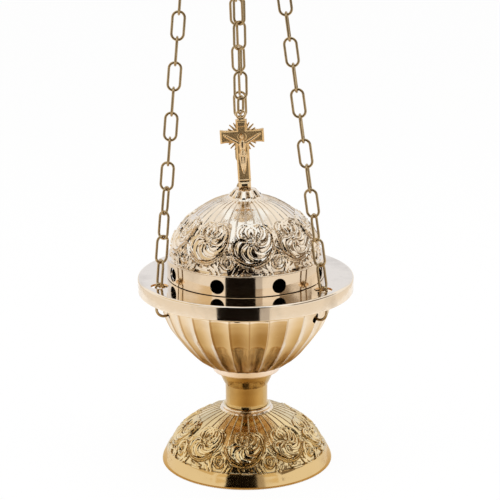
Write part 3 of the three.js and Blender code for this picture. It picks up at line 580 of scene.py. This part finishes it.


# Chains and hooks are painted a darker brass, as shade on the thin polished wire.
chain_brass = polished_brass("chain_brass", (0.47, 0.34, 0.18), (0.14, 0.08, 0.04), roughness=0.12)
HOOK_WIRE, HOOK_SHANK, HOOK_TOP, HOOK_LOW = 1.4, RIM_RADIUS - 5.8, -0.7, -11.8
UPPER_BEND, LOWER_BEND = 1.9, 4.3
upper_bend = arc((HOOK_SHANK - UPPER_BEND, HOOK_TOP), UPPER_BEND, range(200, -1, -10))
lower_bend = arc((HOOK_SHANK - LOWER_BEND, HOOK_LOW), LOWER_BEND, range(0, -181, -9))
hook_line = [*upper_bend, *[(HOOK_SHANK, level) for level in np.linspace(-2, -11, 8)], *lower_bend,
             *[(HOOK_SHANK - 2 * LOWER_BEND, HOOK_LOW + end) for end in (1, 2)]]
for side, azimuth in CHAIN_AZIMUTHS.items():
    hook_path = about_axis(*np.array(hook_line).T, math.radians(azimuth))
    add_wire(f"{side}_hook_wire", hook_path, HOOK_WIRE / 2 * MM, chain_brass, "burner", f"hook_{side}",
             sides=16)


# Chains: oval links of round brass wire, each a quarter turn from the next and soldered shut at one side.
# Three chains carry the bowl from the top plate, and a fourth runs from the crucifix to the finger ring.
LINK_LENGTH, LINK_WIDTH, LINK_WIRE = 15, 7.2, 1.28


def oval_path(length, width, wire):
    """The middle line of an oval ring, long in its second axis."""
    bend = (width - wire) / 2
    straight = length / 2 - width / 2
    side = np.linspace(straight, -straight, 8)[1:-1]
    return np.array([*arc((0, straight), bend, range(0, 181, 9)), *[(-bend, z) for z in side],
                     *arc((0, -straight), bend, range(180, 361, 9)), *[(bend, z) for z in side[::-1]]])


def add_link(node, length, width, wire, body):
    """A link where its CAD node is: its length and width follow the node's longest and second axes."""
    solid = bpy.data.objects[node]
    corners = np.array([solid.matrix_world @ vertex.co for vertex in solid.data.vertices])
    axes = np.linalg.svd(corners - corners.mean(0), full_matrices=False)[2]
    centre = corners.mean(0)
    along, across = axes[0], axes[1]
    if along[2] < 0:
        along = -along
    path = oval_path(length, width, wire) * MM
    line = centre + path[:, :1] * across + path[:, 1:] * along
    return add_wire(node + "_wire", line, wire / 2 * MM, chain_brass, body, node, sides=14, closed=True)


for side in CHAIN_AZIMUTHS:
    for i in range(12):
        add_link(f"{side}_link_{i + 1:02d}", LINK_LENGTH, LINK_WIDTH, LINK_WIRE, "burner")
for i in range(5):
    add_link(f"lid_link_{i + 1}", LINK_LENGTH, LINK_WIDTH, LINK_WIRE, "lid")
CROSS_RING_LENGTH, CROSS_RING_WIDTH, CROSS_RING_WIRE = 10, 6.4, 1.3
add_link("cross_ring", CROSS_RING_LENGTH, CROSS_RING_WIDTH, CROSS_RING_WIRE, "lid")


# Lid: a spun band with eight round vents, under a dome that is embossed with flutes and roundels.
# A small cast crown with nine lobes closes the top and carries the crucifix.
LID_COLUMNS, LID_RADIUS, LID_BOTTOM, BAND_TOP, LID_SHEET = 720, RIM_RADIUS - 15, 0.3, 10.1, 0.5
LID_VENT_RADIUS, LID_VENT_AZIMUTH, LID_VENT_LEVEL, LID_VENTS = 3.7, -20.5, 4.9, 8
LID_CUT_START, LID_CUT_LENGTH = 35, 10
lid_band_outline = [(LID_RADIUS - LID_SHEET, LID_BOTTOM), (LID_RADIUS - .1, LID_BOTTOM),
                    (LID_RADIUS, LID_BOTTOM + .1),
                    *[(LID_RADIUS, level) for level in np.linspace(.8, 9.9, 12)],
                    (LID_RADIUS, BAND_TOP), (LID_RADIUS - LID_SHEET, BAND_TOP)]
lid_band = add_turned("lid_band", lid_band_outline, LID_COLUMNS, pale_brass, "lid", "polished_brass",
                      "lid_dome")
# The inner edge at the top of the band is painted near black as shade.
blacken(lid_band, [len(lid_band_outline) - 1], LID_COLUMNS, inside_shade)
pierce(lid_band, [bore(f"lid_vent_{i}", LID_VENT_RADIUS, LID_VENT_AZIMUTH + i * 360 / LID_VENTS,
                       LID_VENT_LEVEL, LID_CUT_START, LID_CUT_LENGTH) for i in range(LID_VENTS)])
dome_curve = [(1, 0), (.978, .14), (.93, .29), (.845, .45), (.73, .6), (.61, .71), (.44, .84), (.23, .945),
              (0, 1)]
DOME_LEVEL, DOME_HEIGHT, DOME_RADIUS, CROWN_RADIUS = 10.8, 31, LID_RADIUS - 1.1, 8
dome_knots = [(CROWN_RADIUS + out * (DOME_RADIUS - CROWN_RADIUS), DOME_LEVEL + rise * DOME_HEIGHT)
              for out, rise in dome_curve]
dome_face = smooth_line(dome_knots, RELIEF_STEP)
lip_line = smooth_line([(LID_RADIUS - .1, BAND_TOP), (LID_RADIUS + .35, 10.35), (LID_RADIUS + .2, 10.75),
                        (DOME_RADIUS, DOME_LEVEL)], .12)
SHANK_BORE = 1.7
dome_outline = [(LID_RADIUS - 1, BAND_TOP), *lip_line[:-1], *dome_face, (SHANK_BORE, 41.9),
                (SHANK_BORE, 40.8), *[(radius - 3, level - 1.8) for radius, level in dome_knots[-2:0:-1]]]
FRONT_ROUNDEL = 5.6
dome_relief, dome_shade = embossed(dome_face, centre_along=16.6, scale=1.0, centre_azimuth=FRONT_ROUNDEL,
                                   flutes=36, flute_depth=1.2, flute_fade=4, seed=5)
# Painted reflection: the shade is strongest on the roundel facing front, where the dark opening is mirrored.
dome_azimuth = (np.arange(RELIEF_COLUMNS) * 360 / RELIEF_COLUMNS + 180) % 360 - 180
dome_shade = dome_shade * (0.62 + 0.48 * np.exp(-((dome_azimuth - FRONT_ROUNDEL) / 18) ** 2))
dome = add_turned("lid_dome_embossed", dome_outline, RELIEF_COLUMNS, pale_brass, "lid", "polished_brass",
                  "lid_dome", lift=on_rows(dome_outline, dome_face, dome_relief),
                  painted_shade=on_rows(dome_outline, dome_face, dome_shade))
# The dome's inside is painted near black as shade.
blacken(dome, range(len(dome_outline) - len(dome_knots) + 1, len(dome_outline)), RELIEF_COLUMNS, inside_shade)

CROWN_COLUMNS, CROWN_LOBES, LOBE_DEPTH = 360, 9, 1.8
crown_line = smooth_line([(7.0, 41.0), (8.3, 41.1), (8.5, 41.5), (7.9, 42.4), (7.0, 43.4), (6.1, 44.4),
                          (5.4, 45.0), (4.2, 45.15)], 0.2)
crown_outline = [(SHANK_BORE, 41.3), *crown_line, (SHANK_BORE, 44.8)]
# The gaps between the lobes are painted darker as shade.
lobe = 1 - np.abs(np.cos((once_round(CROWN_COLUMNS) + 0.1) * CROWN_LOBES / 2))
crown_share = np.clip((np.array([radius for radius, _ in crown_outline]) - 3.4) / 3, 0, 1)
add_turned("lid_crown", crown_outline, CROWN_COLUMNS, pale_brass, "lid", "polished_brass", "lid_dome",
           lift=-LOBE_DEPTH * crown_share[:, None] * lobe ** 2, painted_shade=0.6 * crown_share[:, None] * lobe ** 3)


# Crucifix: cast brass with a glory of rays, a small figure and an eye on top. The block below it has a
# threaded shank that goes through the crown, and it leans a little to one side as fitted.
def prism(outline, thickness, bevel=0.0):
    """Points and faces of a flat plate from its outline, with its front edges bevelled."""
    count = len(outline)
    corners = [Vector(corner) for corner in outline]
    rings = [[(x, thickness / 2, z) for x, z in outline], [(x, bevel - thickness / 2, z) for x, z in outline]]
    if bevel:
        inner = []
        for i, corner in enumerate(corners):
            before = (corner - corners[i - 1]).normalized()
            after = (corners[(i + 1) % count] - corner).normalized()
            side_before, side_after = Vector((-before.y, before.x)), Vector((-after.y, after.x))
            mitre = (side_before + side_after) / (1 + side_before.dot(side_after))
            inner.append(corner + mitre * bevel)
        rings.append([(x, -thickness / 2, z) for x, z in inner])
    points = [point for ring in rings for point in ring]
    faces = [tuple(face) for face in ring_faces(len(rings), count, closed=False)]
    return points, [*faces, tuple(range(count)), tuple(range(len(points) - count, len(points)))[::-1]]


def capsule(start, end, radius_start, radius_end, flat=1.0, sides=14):
    """Points and faces of a rounded limb between two places."""
    start, end = Vector(start), Vector(end)
    along = end - start
    turn = Vector((0, 0, 1)).rotation_difference(along).to_matrix()
    cap_angles = np.radians((8, 35, 62, 90))
    rows = [(-radius_start * math.cos(a), radius_start * math.sin(a)) for a in cap_angles]
    rows += [(along.length + radius_end * math.cos(a), radius_end * math.sin(a)) for a in cap_angles[::-1]]
    points = [start + turn @ Vector((radius * math.cos(a), radius * math.sin(a) * flat, height))
              for height, radius in rows for a in once_round(sides)]
    faces = [tuple(face) for face in ring_faces(len(rows), sides, closed=False)]
    return points, [*faces, tuple(range(sides))[::-1], tuple(range(len(points) - sides, len(points)))]


CROSS_LEAN = math.radians(2.8)
CROSS_SPAN, CROSS_HEIGHT, ARM_LEVEL, ARM_WIDTH, POST_WIDTH, HEAD_WIDTH = 22, 35.6, 27, 6.3, 6.5, 5.2
arm_low, arm_high, arm_end = ARM_LEVEL - ARM_WIDTH / 2, ARM_LEVEL + ARM_WIDTH / 2, -CROSS_SPAN / 2
half_cross = [(-POST_WIDTH / 2, 4), (-POST_WIDTH / 2, arm_low), (arm_end + 2.5, arm_low),
              (arm_end, arm_low - .35), (arm_end, arm_high + .35), (arm_end + 2.5, arm_high),
              (-HEAD_WIDTH / 2, arm_high), (-HEAD_WIDTH / 2 - .3, CROSS_HEIGHT)]
cross_shape = [*half_cross, *[(-x, z) for x, z in half_cross[::-1]]]
cross_parts = [prism(cross_shape[::-1], 2.6, bevel=0.8)]
for corner in (45, 135, 225, 315):
    for turn, reach in ((-15, 7.9), (0, 8.5), (15, 7.9)):
        ray = math.radians(corner + turn)
        out, side = Vector((math.cos(ray), math.sin(ray))), Vector((-math.sin(ray), math.cos(ray)))
        ends = [out * 2 + side * .75, out * 2 - side * .75, out * reach - side * .28,
                out * reach + side * .28]
        cross_parts.append(prism([(x, ARM_LEVEL + z) for x, z in ends], 1.3))
cross_parts += [
    prism([(-3.1, 0), (3.1, 0), (3.1, 4.4), (-3.1, 4.4)], 4.8, bevel=1.5),
    prism([(-3.4, 4.1), (3.4, 4.1), (3.1, 5.0), (-3.1, 5.0)], 4.0, bevel=0.6),
    capsule((0, 0, -7.5), (0, 0, 2), 1.4, 1.4),
    prism([(-1.9, 32.2), (1.9, 32.2), (1.9, 34.2), (-1.9, 34.2)], 3.2),
    capsule((0, -1.35, 23.6), (0, -1.5, 22.2), 1.9, 1.65, flat=.8),
    capsule((0, -1.5, 22.2), (0, -1.35, 20), 1.65, 1.3, flat=.8),
    capsule((0, -1.4, 19.4), (0, -1.4, 17.9), 1.8, 1.9, flat=.8),
    capsule((1.2, -1.7, 18.6), (1.9, -1.5, 16.2), .55, .3),
    capsule((-.8, -1.7, 17.8), (-.7, -2.2, 13.8), 1.15, .85),
    capsule((.8, -1.7, 17.8), (.75, -2.2, 13.8), 1.15, .85),
    capsule((-.7, -2.2, 13.8), (-.25, -1.6, 9.6), .85, .5),
    capsule((.75, -2.2, 13.8), (.25, -1.6, 9.8), .85, .5),
    capsule((-.1, -1.7, 9.4), (.1, -2.1, 8.2), .5, .4),
    capsule((0, -1.5, 24.2), (-.1, -1.8, 25.6), .6, .6),
]
for mirror in (-1, 1):
    cross_parts += [capsule((mirror * 1.7, -1.45, 23.8), (mirror * 4.7, -1.4, 25.5), .9, .75),
                    capsule((mirror * 4.7, -1.4, 25.5), (mirror * 8, -1.3, 27.6), .75, .6),
                    capsule((mirror * 8, -1.4, 27.7), (mirror * 8.8, -1.4, 28.1), .5, .4, flat=.7)]
HEAD_LEVEL, NIMBUS_RADIUS, EYE_LEVEL, EYE_RADIUS, EYE_WIRE = 26.9, 2.05, 37.9, 2.15, 1.12
cross_parts.append(prism(arc((0, HEAD_LEVEL), NIMBUS_RADIUS, range(0, 360, 15)), 2.9))
eye_circle = [(x, 0, z) for x, z in arc((0, EYE_LEVEL), EYE_RADIUS, np.arange(0, 360, 7.5))]
eye_points, eye_faces = tube(eye_circle, EYE_WIRE / 2, closed=True)
cross_parts.append(([Vector(point) for point in eye_points], [tuple(face) for face in eye_faces]))

CROWN_TOP = 45.1
cross_place = (Matrix.Translation((AXIS_X, 0, RIM_LEVEL + CROWN_TOP * MM))
               @ Matrix.Rotation(-CROSS_LEAN, 4, "Y") @ Matrix.Scale(MM, 4))
cross_points, cross_faces = [], []
for points, faces in cross_parts:
    start = len(cross_points)
    cross_points += [cross_place @ Vector(point) for point in points]
    cross_faces += [tuple(start + i for i in face) for face in faces]
rose_brass = polished_brass("rose_brass", (0.84, 0.63, 0.38), (0.84, 0.58, 0.29), roughness=0.2, wear=1.6,
                            ripple=0.3)
crucifix = add_mesh("crucifix_cast", cross_points, cross_faces, rose_brass)
cast_skin = crucifix.modifiers.new("cast_skin", "REMESH")
cast_skin.mode = "VOXEL"
cast_skin.voxel_size = 0.15 * MM
soften = crucifix.modifiers.new("soften", "SMOOTH")
soften.iterations = 4
apply_steps(crucifix)
shade_smooth(crucifix.data)
# The cross's front, set back behind the figure, is painted a little darker and duller as shade.
local = np.array([cross_place.inverted() @ vertex.co for vertex in crucifix.data.vertices])
forward, height = local[:, 1], local[:, 2]
paint_shade(crucifix.data, np.clip((forward + 1.95) / 0.5, 0, 1) * (forward < 0) * (height > 5) * (height < 35))
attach(crucifix, "lid")
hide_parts("cross_finial")

# The head is finer than the rest: an oval with closed eyes, a straight nose and a small mouth, set at even
# thirds of the face, and hair that falls behind it.
HEAD_ROWS, HEAD_COLUMNS = 49, 72
lift_angle = np.linspace(-math.pi / 2 + .02, math.pi / 2 - .02, HEAD_ROWS)[:, None]
turn_angle = once_round(HEAD_COLUMNS)[None]
face_x = np.cos(lift_angle) * np.sin(turn_angle)
face_y = -np.cos(lift_angle) * np.cos(turn_angle)
face_z = np.sin(lift_angle) + 0 * turn_angle
front = face_y < 0


def mound(x, z, width, height):
    """A soft rise or hollow on the front of the head."""
    return np.exp(-((face_x - x) / width) ** 2 - ((face_z - z) / height) ** 2) * front


bulge = (.22 * mound(0, -.08, .12, .3) - .12 * mound(.36, .06, .2, .13) - .12 * mound(-.36, .06, .2, .13)
         + .08 * mound(.36, .03, .12, .07) + .08 * mound(-.36, .03, .12, .07) - .06 * mound(0, -.5, .22, .04)
         + .06 * mound(0, -.43, .18, .06) + .06 * mound(0, -.58, .15, .06) + .08 * mound(0, -.82, .25, .15))
strands = .05 * np.sin(26 * turn_angle + 5 * face_z)
hair = np.clip((face_y + .35) / .2, 0, 1) + np.clip((face_z - .55) / .15, 0, 1)
swell = 1 + bulge + np.clip(hair, 0, 1) * (.12 + strands)
head_local = np.stack([face_x * .98 * swell, face_y * 1.05 * swell, face_z * 1.3 * swell], -1).reshape(-1, 3)
head_place = (cross_place @ Matrix.Translation((-.1, -1.9, HEAD_LEVEL))
              @ Matrix.Rotation(math.radians(-9), 4, "Y") @ Matrix.Rotation(math.radians(8), 4, "X"))
head_points = [head_place @ Vector(point) for point in head_local]
add_piece("crucifix_head", head_points, ring_faces(HEAD_ROWS, HEAD_COLUMNS, closed=False), rose_brass, "lid",
          "cast_brass")


# Top plate: a spun brass disc with a raised middle. The chains end in its three ears, and the lid's own chain
# comes up through its round hole. The bow is a bent brass strap, riveted to the plate through two pads.
# The plate's underside keeps the satin of the spinning lathe, and is painted a paler brass as light.
PLATE_COLUMNS, EAR_COLUMNS, PLATE_LEVEL, RAISED_LEVEL = 240, 40, 147.4, 151.47
plate_outline = [(7, 149.87), (20.1, 149.87), (21.4, 148.2), (22.3, 145.8), (27.7, 145.8), (28, 146.1),
                 (28, 147.1), (27.7, PLATE_LEVEL), (23, PLATE_LEVEL), (22.5, 147.6), (22.1, 148.2),
                 (20.9, 151), (20.5, 151.35), (20, RAISED_LEVEL), (7.2, RAISED_LEVEL), (7, 151.27)]
plate = add_turned("top_plate_spun", plate_outline, PLATE_COLUMNS, pale_brass, "burner", "polished_brass",
                   "top_plate", centre=(0, 0))
# The underside is painted almost white as light.
satin_painted_light = polished_brass("satin_painted_light", (0.96, 0.91, 0.82), (0.5, 0.4, 0.28), roughness=0.45)
UNDERSIDE_ROWS = 4
blacken(plate, range(UNDERSIDE_ROWS), PLATE_COLUMNS, satin_painted_light)
ear_places = {"left": (-25.84, -8.80), "right": (20.15, -16.21), "back": (0, 25.42)}
ear_outline = [(1.3, 145.8), (2.7, 145.8), (2.9, 146), (2.9, 147.2), (2.7, PLATE_LEVEL), (1.3, PLATE_LEVEL)]
for side, place in ear_places.items():
    add_turned(f"{side}_ear", ear_outline, EAR_COLUMNS, pale_brass, "burner", "polished_brass", centre=place)
ear_cutters = []
for side, (x, y) in ear_places.items():
    cutter = bore(f"ear_room_{side}", 2.2, 0, PLATE_LEVEL, 0, 8, upright=True)
    cutter.location += Vector((x * MM - AXIS_X, y * MM, 0))
    ear_cutters.append(cutter)
pierce(plate, ear_cutters)

BOW_RADIUS, BOW_THICKNESS, BOW_WIDTH, BOW_FOOT, BOW_ARCH, STRAP_CORNER = 25.2, 2.2, 7, 147.7, 172.2, 0.5
bow_leg = np.linspace(BOW_FOOT, BOW_ARCH, 12)[:-1]
bow_line = np.array([*[(-BOW_RADIUS, z) for z in bow_leg],
                     *arc((0, BOW_ARCH), BOW_RADIUS, range(180, -1, -4)),
                     *[(BOW_RADIUS, z) for z in bow_leg[::-1]]])
bow_along = np.gradient(bow_line, axis=0)
bow_along /= np.linalg.norm(bow_along, axis=1, keepdims=True)
strap = [point for u, w, start in ((1, 1, 0), (-1, 1, 90), (-1, -1, 180), (1, -1, 270))
         for point in arc((u * (BOW_THICKNESS / 2 - STRAP_CORNER), w * (BOW_WIDTH / 2 - STRAP_CORNER)),
                          STRAP_CORNER, range(start, start + 91, 30))]
bow_points = [((x + u * -dz) * MM, w * MM, RIM_LEVEL + (z + u * dx) * MM)
              for (x, z), (dx, dz) in zip(bow_line, bow_along) for u, w in strap]
count, total = len(strap), len(bow_points)
bow_strap = add_mesh("bow_strap", bow_points, [
    *map(tuple, ring_faces(len(bow_line), count, closed=False)), tuple(range(count))[::-1],
    tuple(range(total - count, total))], pale_brass)
shade_smooth(bow_strap.data, sharp_from=40)
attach(bow_strap, "burner")
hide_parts("bow_handle")
pad_outline = [(2.6, BOW_FOOT), (2.6, 148.8), (2.2, 149.1), (0, 149.1)]
rivet_outline = [(0, 144.5), (1.2, 144.5), (2, 144.8), (2.3, 145.5), (1.3, 145.5), (1.3, 148), (0, 148)]
for name, x in (("left", -BOW_RADIUS), ("right", BOW_RADIUS)):
    for kind, outline in (("pad", pad_outline), ("rivet", rivet_outline)):
        add_turned(f"{name}_bow_{kind}", outline, EAR_COLUMNS, pale_brass, "burner", "polished_brass",
                   centre=(x, 0))


# Swivel and rings: a headed pin turns in the top of the bow, and its eye holds the ring the burner hangs
# from. The finger ring lies on the plate, through the last link of the lid's chain.
PIN_COLUMNS = 60
pin_outline = [(0, 194), (2.7, 194), (3.3, 194.5), (3.4, 195.1), (3.4, 196), (1.8, 196), (1.8, 198.8),
               (3.2, 198.8), (3.4, 199), (3.4, 200), (3.0, 200.4), (0, 200.5)]
add_turned("swivel_pin", pin_outline, PIN_COLUMNS, pale_brass, "swivel", "polished_brass", "swivel_eye",
           centre=(0, 0))


def ring_path(radius, centre, axes):
    """A circle along two of the axes, in mm from the frame's origin at the level of the rim."""
    path = np.zeros((96, 3))
    path[:, axes] = arc((0, 0), radius, np.arange(0, 360, 3.75))
    return (path + centre) * MM + (0, 0, RIM_LEVEL)


for name, radius, centre, axes, wire, body, node, sides in (
        ("swivel_loop", 4, (0, 0, 205), [1, 2], 2.2, "swivel", "swivel_eye", 20),
        ("hanging_ring_wire", 13, (0, 0, 219.1), [0, 2], 3.0, "ring", "hanging_ring", 24),
        ("finger_ring_wire", 9, (1.86, 9, RAISED_LEVEL + 1.2), [0, 1], 1.8, "finger_ring", "pull_ring", 20)):
    add_wire(name, ring_path(radius, centre, axes), wire / 2 * MM, pale_brass, body, node,
             slot="polished_brass", sides=sides, closed=True)


# Inside: a loose spun cup of dark iron for the charcoal, the long bolt under it that ties bowl, stem and foot
# together, its nut under the foot, and the nut that holds the crucifix under the dome.
dark_iron = polished_brass("dark_iron", (0.07, 0.065, 0.06), (0.02, 0.018, 0.016), roughness=0.55, wear=2)
CUP_COLUMNS, BOLT_COLUMNS, NUT_COLUMNS = 144, 48, 72
cup_outline = [(0.01, -42.5), (17.6, -42.5), (19.2, -42), (20, -40.6), (28.3, -20.6), (28.8, -20.4),
               (29.9, -20.4), (30, -20), (29.7, -19.5), (27.6, -19.5), (19.2, -40), (18.4, -41.2),
               (17.1, -41.6), (0.01, -41.6)]
add_turned("charcoal_cup_spun", cup_outline, CUP_COLUMNS, dark_iron, "cup", "dark_iron", "charcoal_cup")
bolt_outline = [(0.01, -42.8), (5.6, -42.8), (6.8, -43.2), (7, -43.8), (7, -44.8), (2, -44.8), (2, -74.5),
                (1.6, -74.9), (0.01, -74.9)]
add_turned("tie_bolt_turned", bolt_outline, BOLT_COLUMNS, dark_iron, "burner", "dark_iron", "tie_bolt")


def hex_nut(name, across, bore_radius, low, high, body, node):
    """A six-sided nut with its corners turned off."""
    a = once_round(NUT_COLUMNS)
    flat = across / 2 / np.cos((a + math.pi / 6) % (math.pi / 3) - math.pi / 6)
    turned_off = np.minimum(flat, across / 2 * 1.04)
    rows = [(turned_off, low), (flat, low + .35), (flat, high - .35), (turned_off, high),
            (bore_radius, high), (bore_radius, low)]
    points = np.vstack([about_axis(radius, level, a) for radius, level in rows])
    add_piece(name, points, ring_faces(len(rows), NUT_COLUMNS), dark_iron, body, "dark_iron", node)


hex_nut("tie_nut_hex", 7, 2.2, -73.4, -70.2, "burner", "tie_nut")
hex_nut("finial_nut_hex", 6, 1.75, 37.9, 40.5, "lid", "finial_nut")


# Floor, background and lamps: a white table in a white room, with a dark opening in front, where the camera
# is. The floor shows the burner's shadow. The opening and the lit cards, which stand for the walls, the
# ceiling and parts of the table, show only as reflections in the metal.
HALF_FLOOR = 3.0
floor_white, tree, white = new_material("floor_white")
set_inputs(white, {"Base Color": (0.86, 0.85, 0.84, 1), "Roughness": 0.7})
paper = add_node(tree, "Emission", {"Color": (1, 1, 1, 1)})
seen = add_node(tree, "LightPath")
share = add_node(tree, "Math", {1: 0.95}, operation="MULTIPLY")
blend = add_node(tree, "MixShader")
join(tree, (seen, "Is Camera Ray", share, 0), (share, "Value", blend, "Fac"), (white, "BSDF", blend, 1),
     (paper, "Emission", blend, 2), (blend, "Shader", tree.nodes["Material Output"], "Surface"))
floor = add_mesh("floor", [(x * HALF_FLOOR, y * HALF_FLOOR, FLOOR_LEVEL)
                           for x, y in ((-1, -1), (1, -1), (1, 1), (-1, 1))], [(0, 1, 2, 3)], floor_white)

DARK_DISTANCE = 250 * MM
DARK_LEFT, DARK_RIGHT, DARK_TOP = -130 * MM, 125 * MM, 450 * MM
DARK_LOW_RIGHT, DARK_STEP_LOW = 58 * MM, DARK_DISTANCE * math.tan(CAMERA_PITCH) + 15 * MM
DARK_STEP_HIGH = DARK_STEP_LOW + 30 * MM
TABLE = FLOOR_LEVEL - RIM_LEVEL
dark_corners = [(DARK_LEFT, TABLE), (DARK_LOW_RIGHT, TABLE), (DARK_LOW_RIGHT, DARK_STEP_LOW),
                (DARK_RIGHT, DARK_STEP_HIGH), (DARK_RIGHT, DARK_TOP), (DARK_LEFT, DARK_TOP)]
dark_black, _, unlit = new_material("dark_black")
set_inputs(unlit, {"Base Color": (0.005, 0.003, 0.002, 1), "Roughness": 1, "Specular IOR Level": 0})
dark = add_mesh("dark_opening", [(AXIS_X + x, -DARK_DISTANCE, RIM_LEVEL + z) for x, z in dark_corners],
                [tuple(range(len(dark_corners)))], dark_black)


def glow(name, colour):
    """A plain lit finish for a card."""
    look, tree, _ = new_material(name)
    lit = add_node(tree, "Emission", {"Color": (*colour, 1)})
    join(tree, (lit, "Emission", tree.nodes["Material Output"], "Surface"))
    return look


def glow_card(name, low, high, colour):
    """A flat lit card between two opposite corners, in metres from the burner's axis at the rim."""
    first, second = [axis for axis in range(3) if low[axis] != high[axis]]
    corners = np.array([low] * 4) + (AXIS_X, 0, RIM_LEVEL)
    corners[1:3, first] += high[first] - low[first]
    corners[2:4, second] += high[second] - low[second]
    return add_mesh(name, corners.tolist(), [(0, 1, 2, 3)], glow(name, colour))


def fade_card(card, centre, inner, inner_reach, clear_from, clear_to):
    """Give a card an inner tone round a point, and let it fade out further away."""
    tree = card.data.materials[0].node_tree
    lit = tree.nodes["Emission"]
    place = add_node(tree, "TexCoord")
    middle = add_node(tree, "VectorMath", {1: centre}, operation="DISTANCE")
    fading = add_node(tree, "MapRange", {"From Min": clear_from, "From Max": clear_to},
                      interpolation_type="SMOOTHSTEP")
    near = add_node(tree, "MapRange", {"From Min": 0, "From Max": inner_reach},
                    interpolation_type="SMOOTHSTEP")
    tone = add_node(tree, "Mix", {"A": (*inner, 1), "B": lit.inputs["Color"].default_value}, data_type="RGBA")
    clear = add_node(tree, "BsdfTransparent")
    mixed = add_node(tree, "MixShader")
    join(tree, (place, "Object", middle, 0), (middle, "Value", fading, "Value"),
         (middle, "Value", near, "Value"), (near, "Result", tone, "Factor"), (tone, "Result", lit, "Color"),
         (fading, "Result", mixed, "Fac"), (lit, "Emission", mixed, 1), (clear, "BSDF", mixed, 2),
         (mixed, "Shader", tree.nodes["Material Output"], "Surface"))


CARD_LIFT = 0.5 * MM
warm_table = glow_card("warm_table", (-0.3, -0.3, TABLE + CARD_LIFT), (0.3, 0.02, TABLE + CARD_LIFT),
                       (0.8, 0.62, 0.34))
fade_card(warm_table, (AXIS_X, -0.07, FLOOR_LEVEL), inner=(0.42, 0.25, 0.08), inner_reach=0.1,
          clear_from=0.05, clear_to=0.19)
grey_panel = glow_card("grey_panel", (DARK_LOW_RIGHT, -DARK_DISTANCE, TABLE),
                       (DARK_LOW_RIGHT + 45 * MM, -DARK_DISTANCE, DARK_STEP_LOW), (0.55, 0.5, 0.45))
FAR_SIDES, FAR_START, FAR_END = 24, 0.33, 1.0
far_ring = [(AXIS_X + reach * math.sin(a), -reach * math.cos(a), FLOOR_LEVEL + 0.4 * MM)
            for a in once_round(FAR_SIDES) for reach in (FAR_START, FAR_END)]
far_faces = [(2 * i, 2 * i + 1, (2 * i + 3) % (2 * FAR_SIDES), (2 * i + 2) % (2 * FAR_SIDES))
             for i in range(FAR_SIDES)]
far_table = add_mesh("far_table", far_ring, far_faces, glow("far_table", (0.88, 0.81, 0.72)))
walls = [glow_card(*card) for card in (
    ("front_wall", (-0.9, -0.95, 0.42), (0.9, -0.95, 1.1), (0.86, 0.74, 0.52)),
    ("back_wall", (-0.8, 0.9, 0.08), (0.8, 0.9, 0.55), (0.84, 0.9, 1.03)),
    ("ceiling", (-0.26, -0.36, 0.6), (0.26, 0.35, 0.6), (1.08, 1.2, 1.36)),
    ("left_wall", (-0.45, -0.4, 0.14), (-0.45, 0.15, 0.52), (0.8, 0.68, 0.48)),
    ("right_wall", (0.45, -0.4, 0.14), (0.45, 0.15, 0.52), (0.24, 0.19, 0.14)))]
for card in (dark, warm_table, far_table, grey_panel, *walls):
    card.visible_camera = False
    card.visible_diffuse = False
    card.visible_shadow = False

world = bpy.data.worlds.new("white_room")
bpy.context.scene.world = world
world.use_nodes = True
tree = world.node_tree
room = tree.nodes["Background"]
set_inputs(room, {"Color": (1, 1, 1, 1), "Strength": 0.75})
shown = add_node(tree, "Background", {"Color": (1, 1, 1, 1), "Strength": 1})
seen = add_node(tree, "LightPath")
camera_or_glossy = add_node(tree, "Math", operation="MAXIMUM")
clear = add_node(tree, "Math", operation="MAXIMUM")
blend = add_node(tree, "MixShader")
join(tree, (seen, "Is Camera Ray", camera_or_glossy, 0), (seen, "Is Glossy Ray", camera_or_glossy, 1),
     (camera_or_glossy, "Value", clear, 0), (seen, "Is Transmission Ray", clear, 1),
     (clear, "Value", blend, "Fac"), (room, "Background", blend, 1), (shown, "Background", blend, 2),
     (blend, "Shader", tree.nodes["World Output"], "Surface"))


def soft_lamp(name, place, aim, width, height, watts):
    """A large soft lamp, aimed at a point of the burner."""
    lamp_data = bpy.data.lights.new(name, "AREA")
    lamp_data.shape = "RECTANGLE"
    lamp_data.size = width
    lamp_data.size_y = height
    lamp_data.energy = watts
    lamp = bpy.data.objects.new(name, lamp_data)
    lamp.location = place
    lamp.rotation_euler = (Vector(aim) - Vector(place)).to_track_quat("-Z", "Y").to_euler()
    lamp.visible_glossy = False
    bpy.context.scene.collection.objects.link(lamp)


LAMP_AIM = (AXIS_X, 0, RIM_LEVEL)
soft_lamp("overhead_lamp", (0.1, -0.1, 0.75), LAMP_AIM, 0.9, 0.9, 5)
soft_lamp("left_lamp", (-0.9, -0.35, 0.15), LAMP_AIM, 0.7, 0.9, 3)
soft_lamp("right_lamp", (0.95, -0.3, 0.1), LAMP_AIM, 0.6, 0.9, 2)

bpy.context.scene.view_settings.view_transform = "Standard"
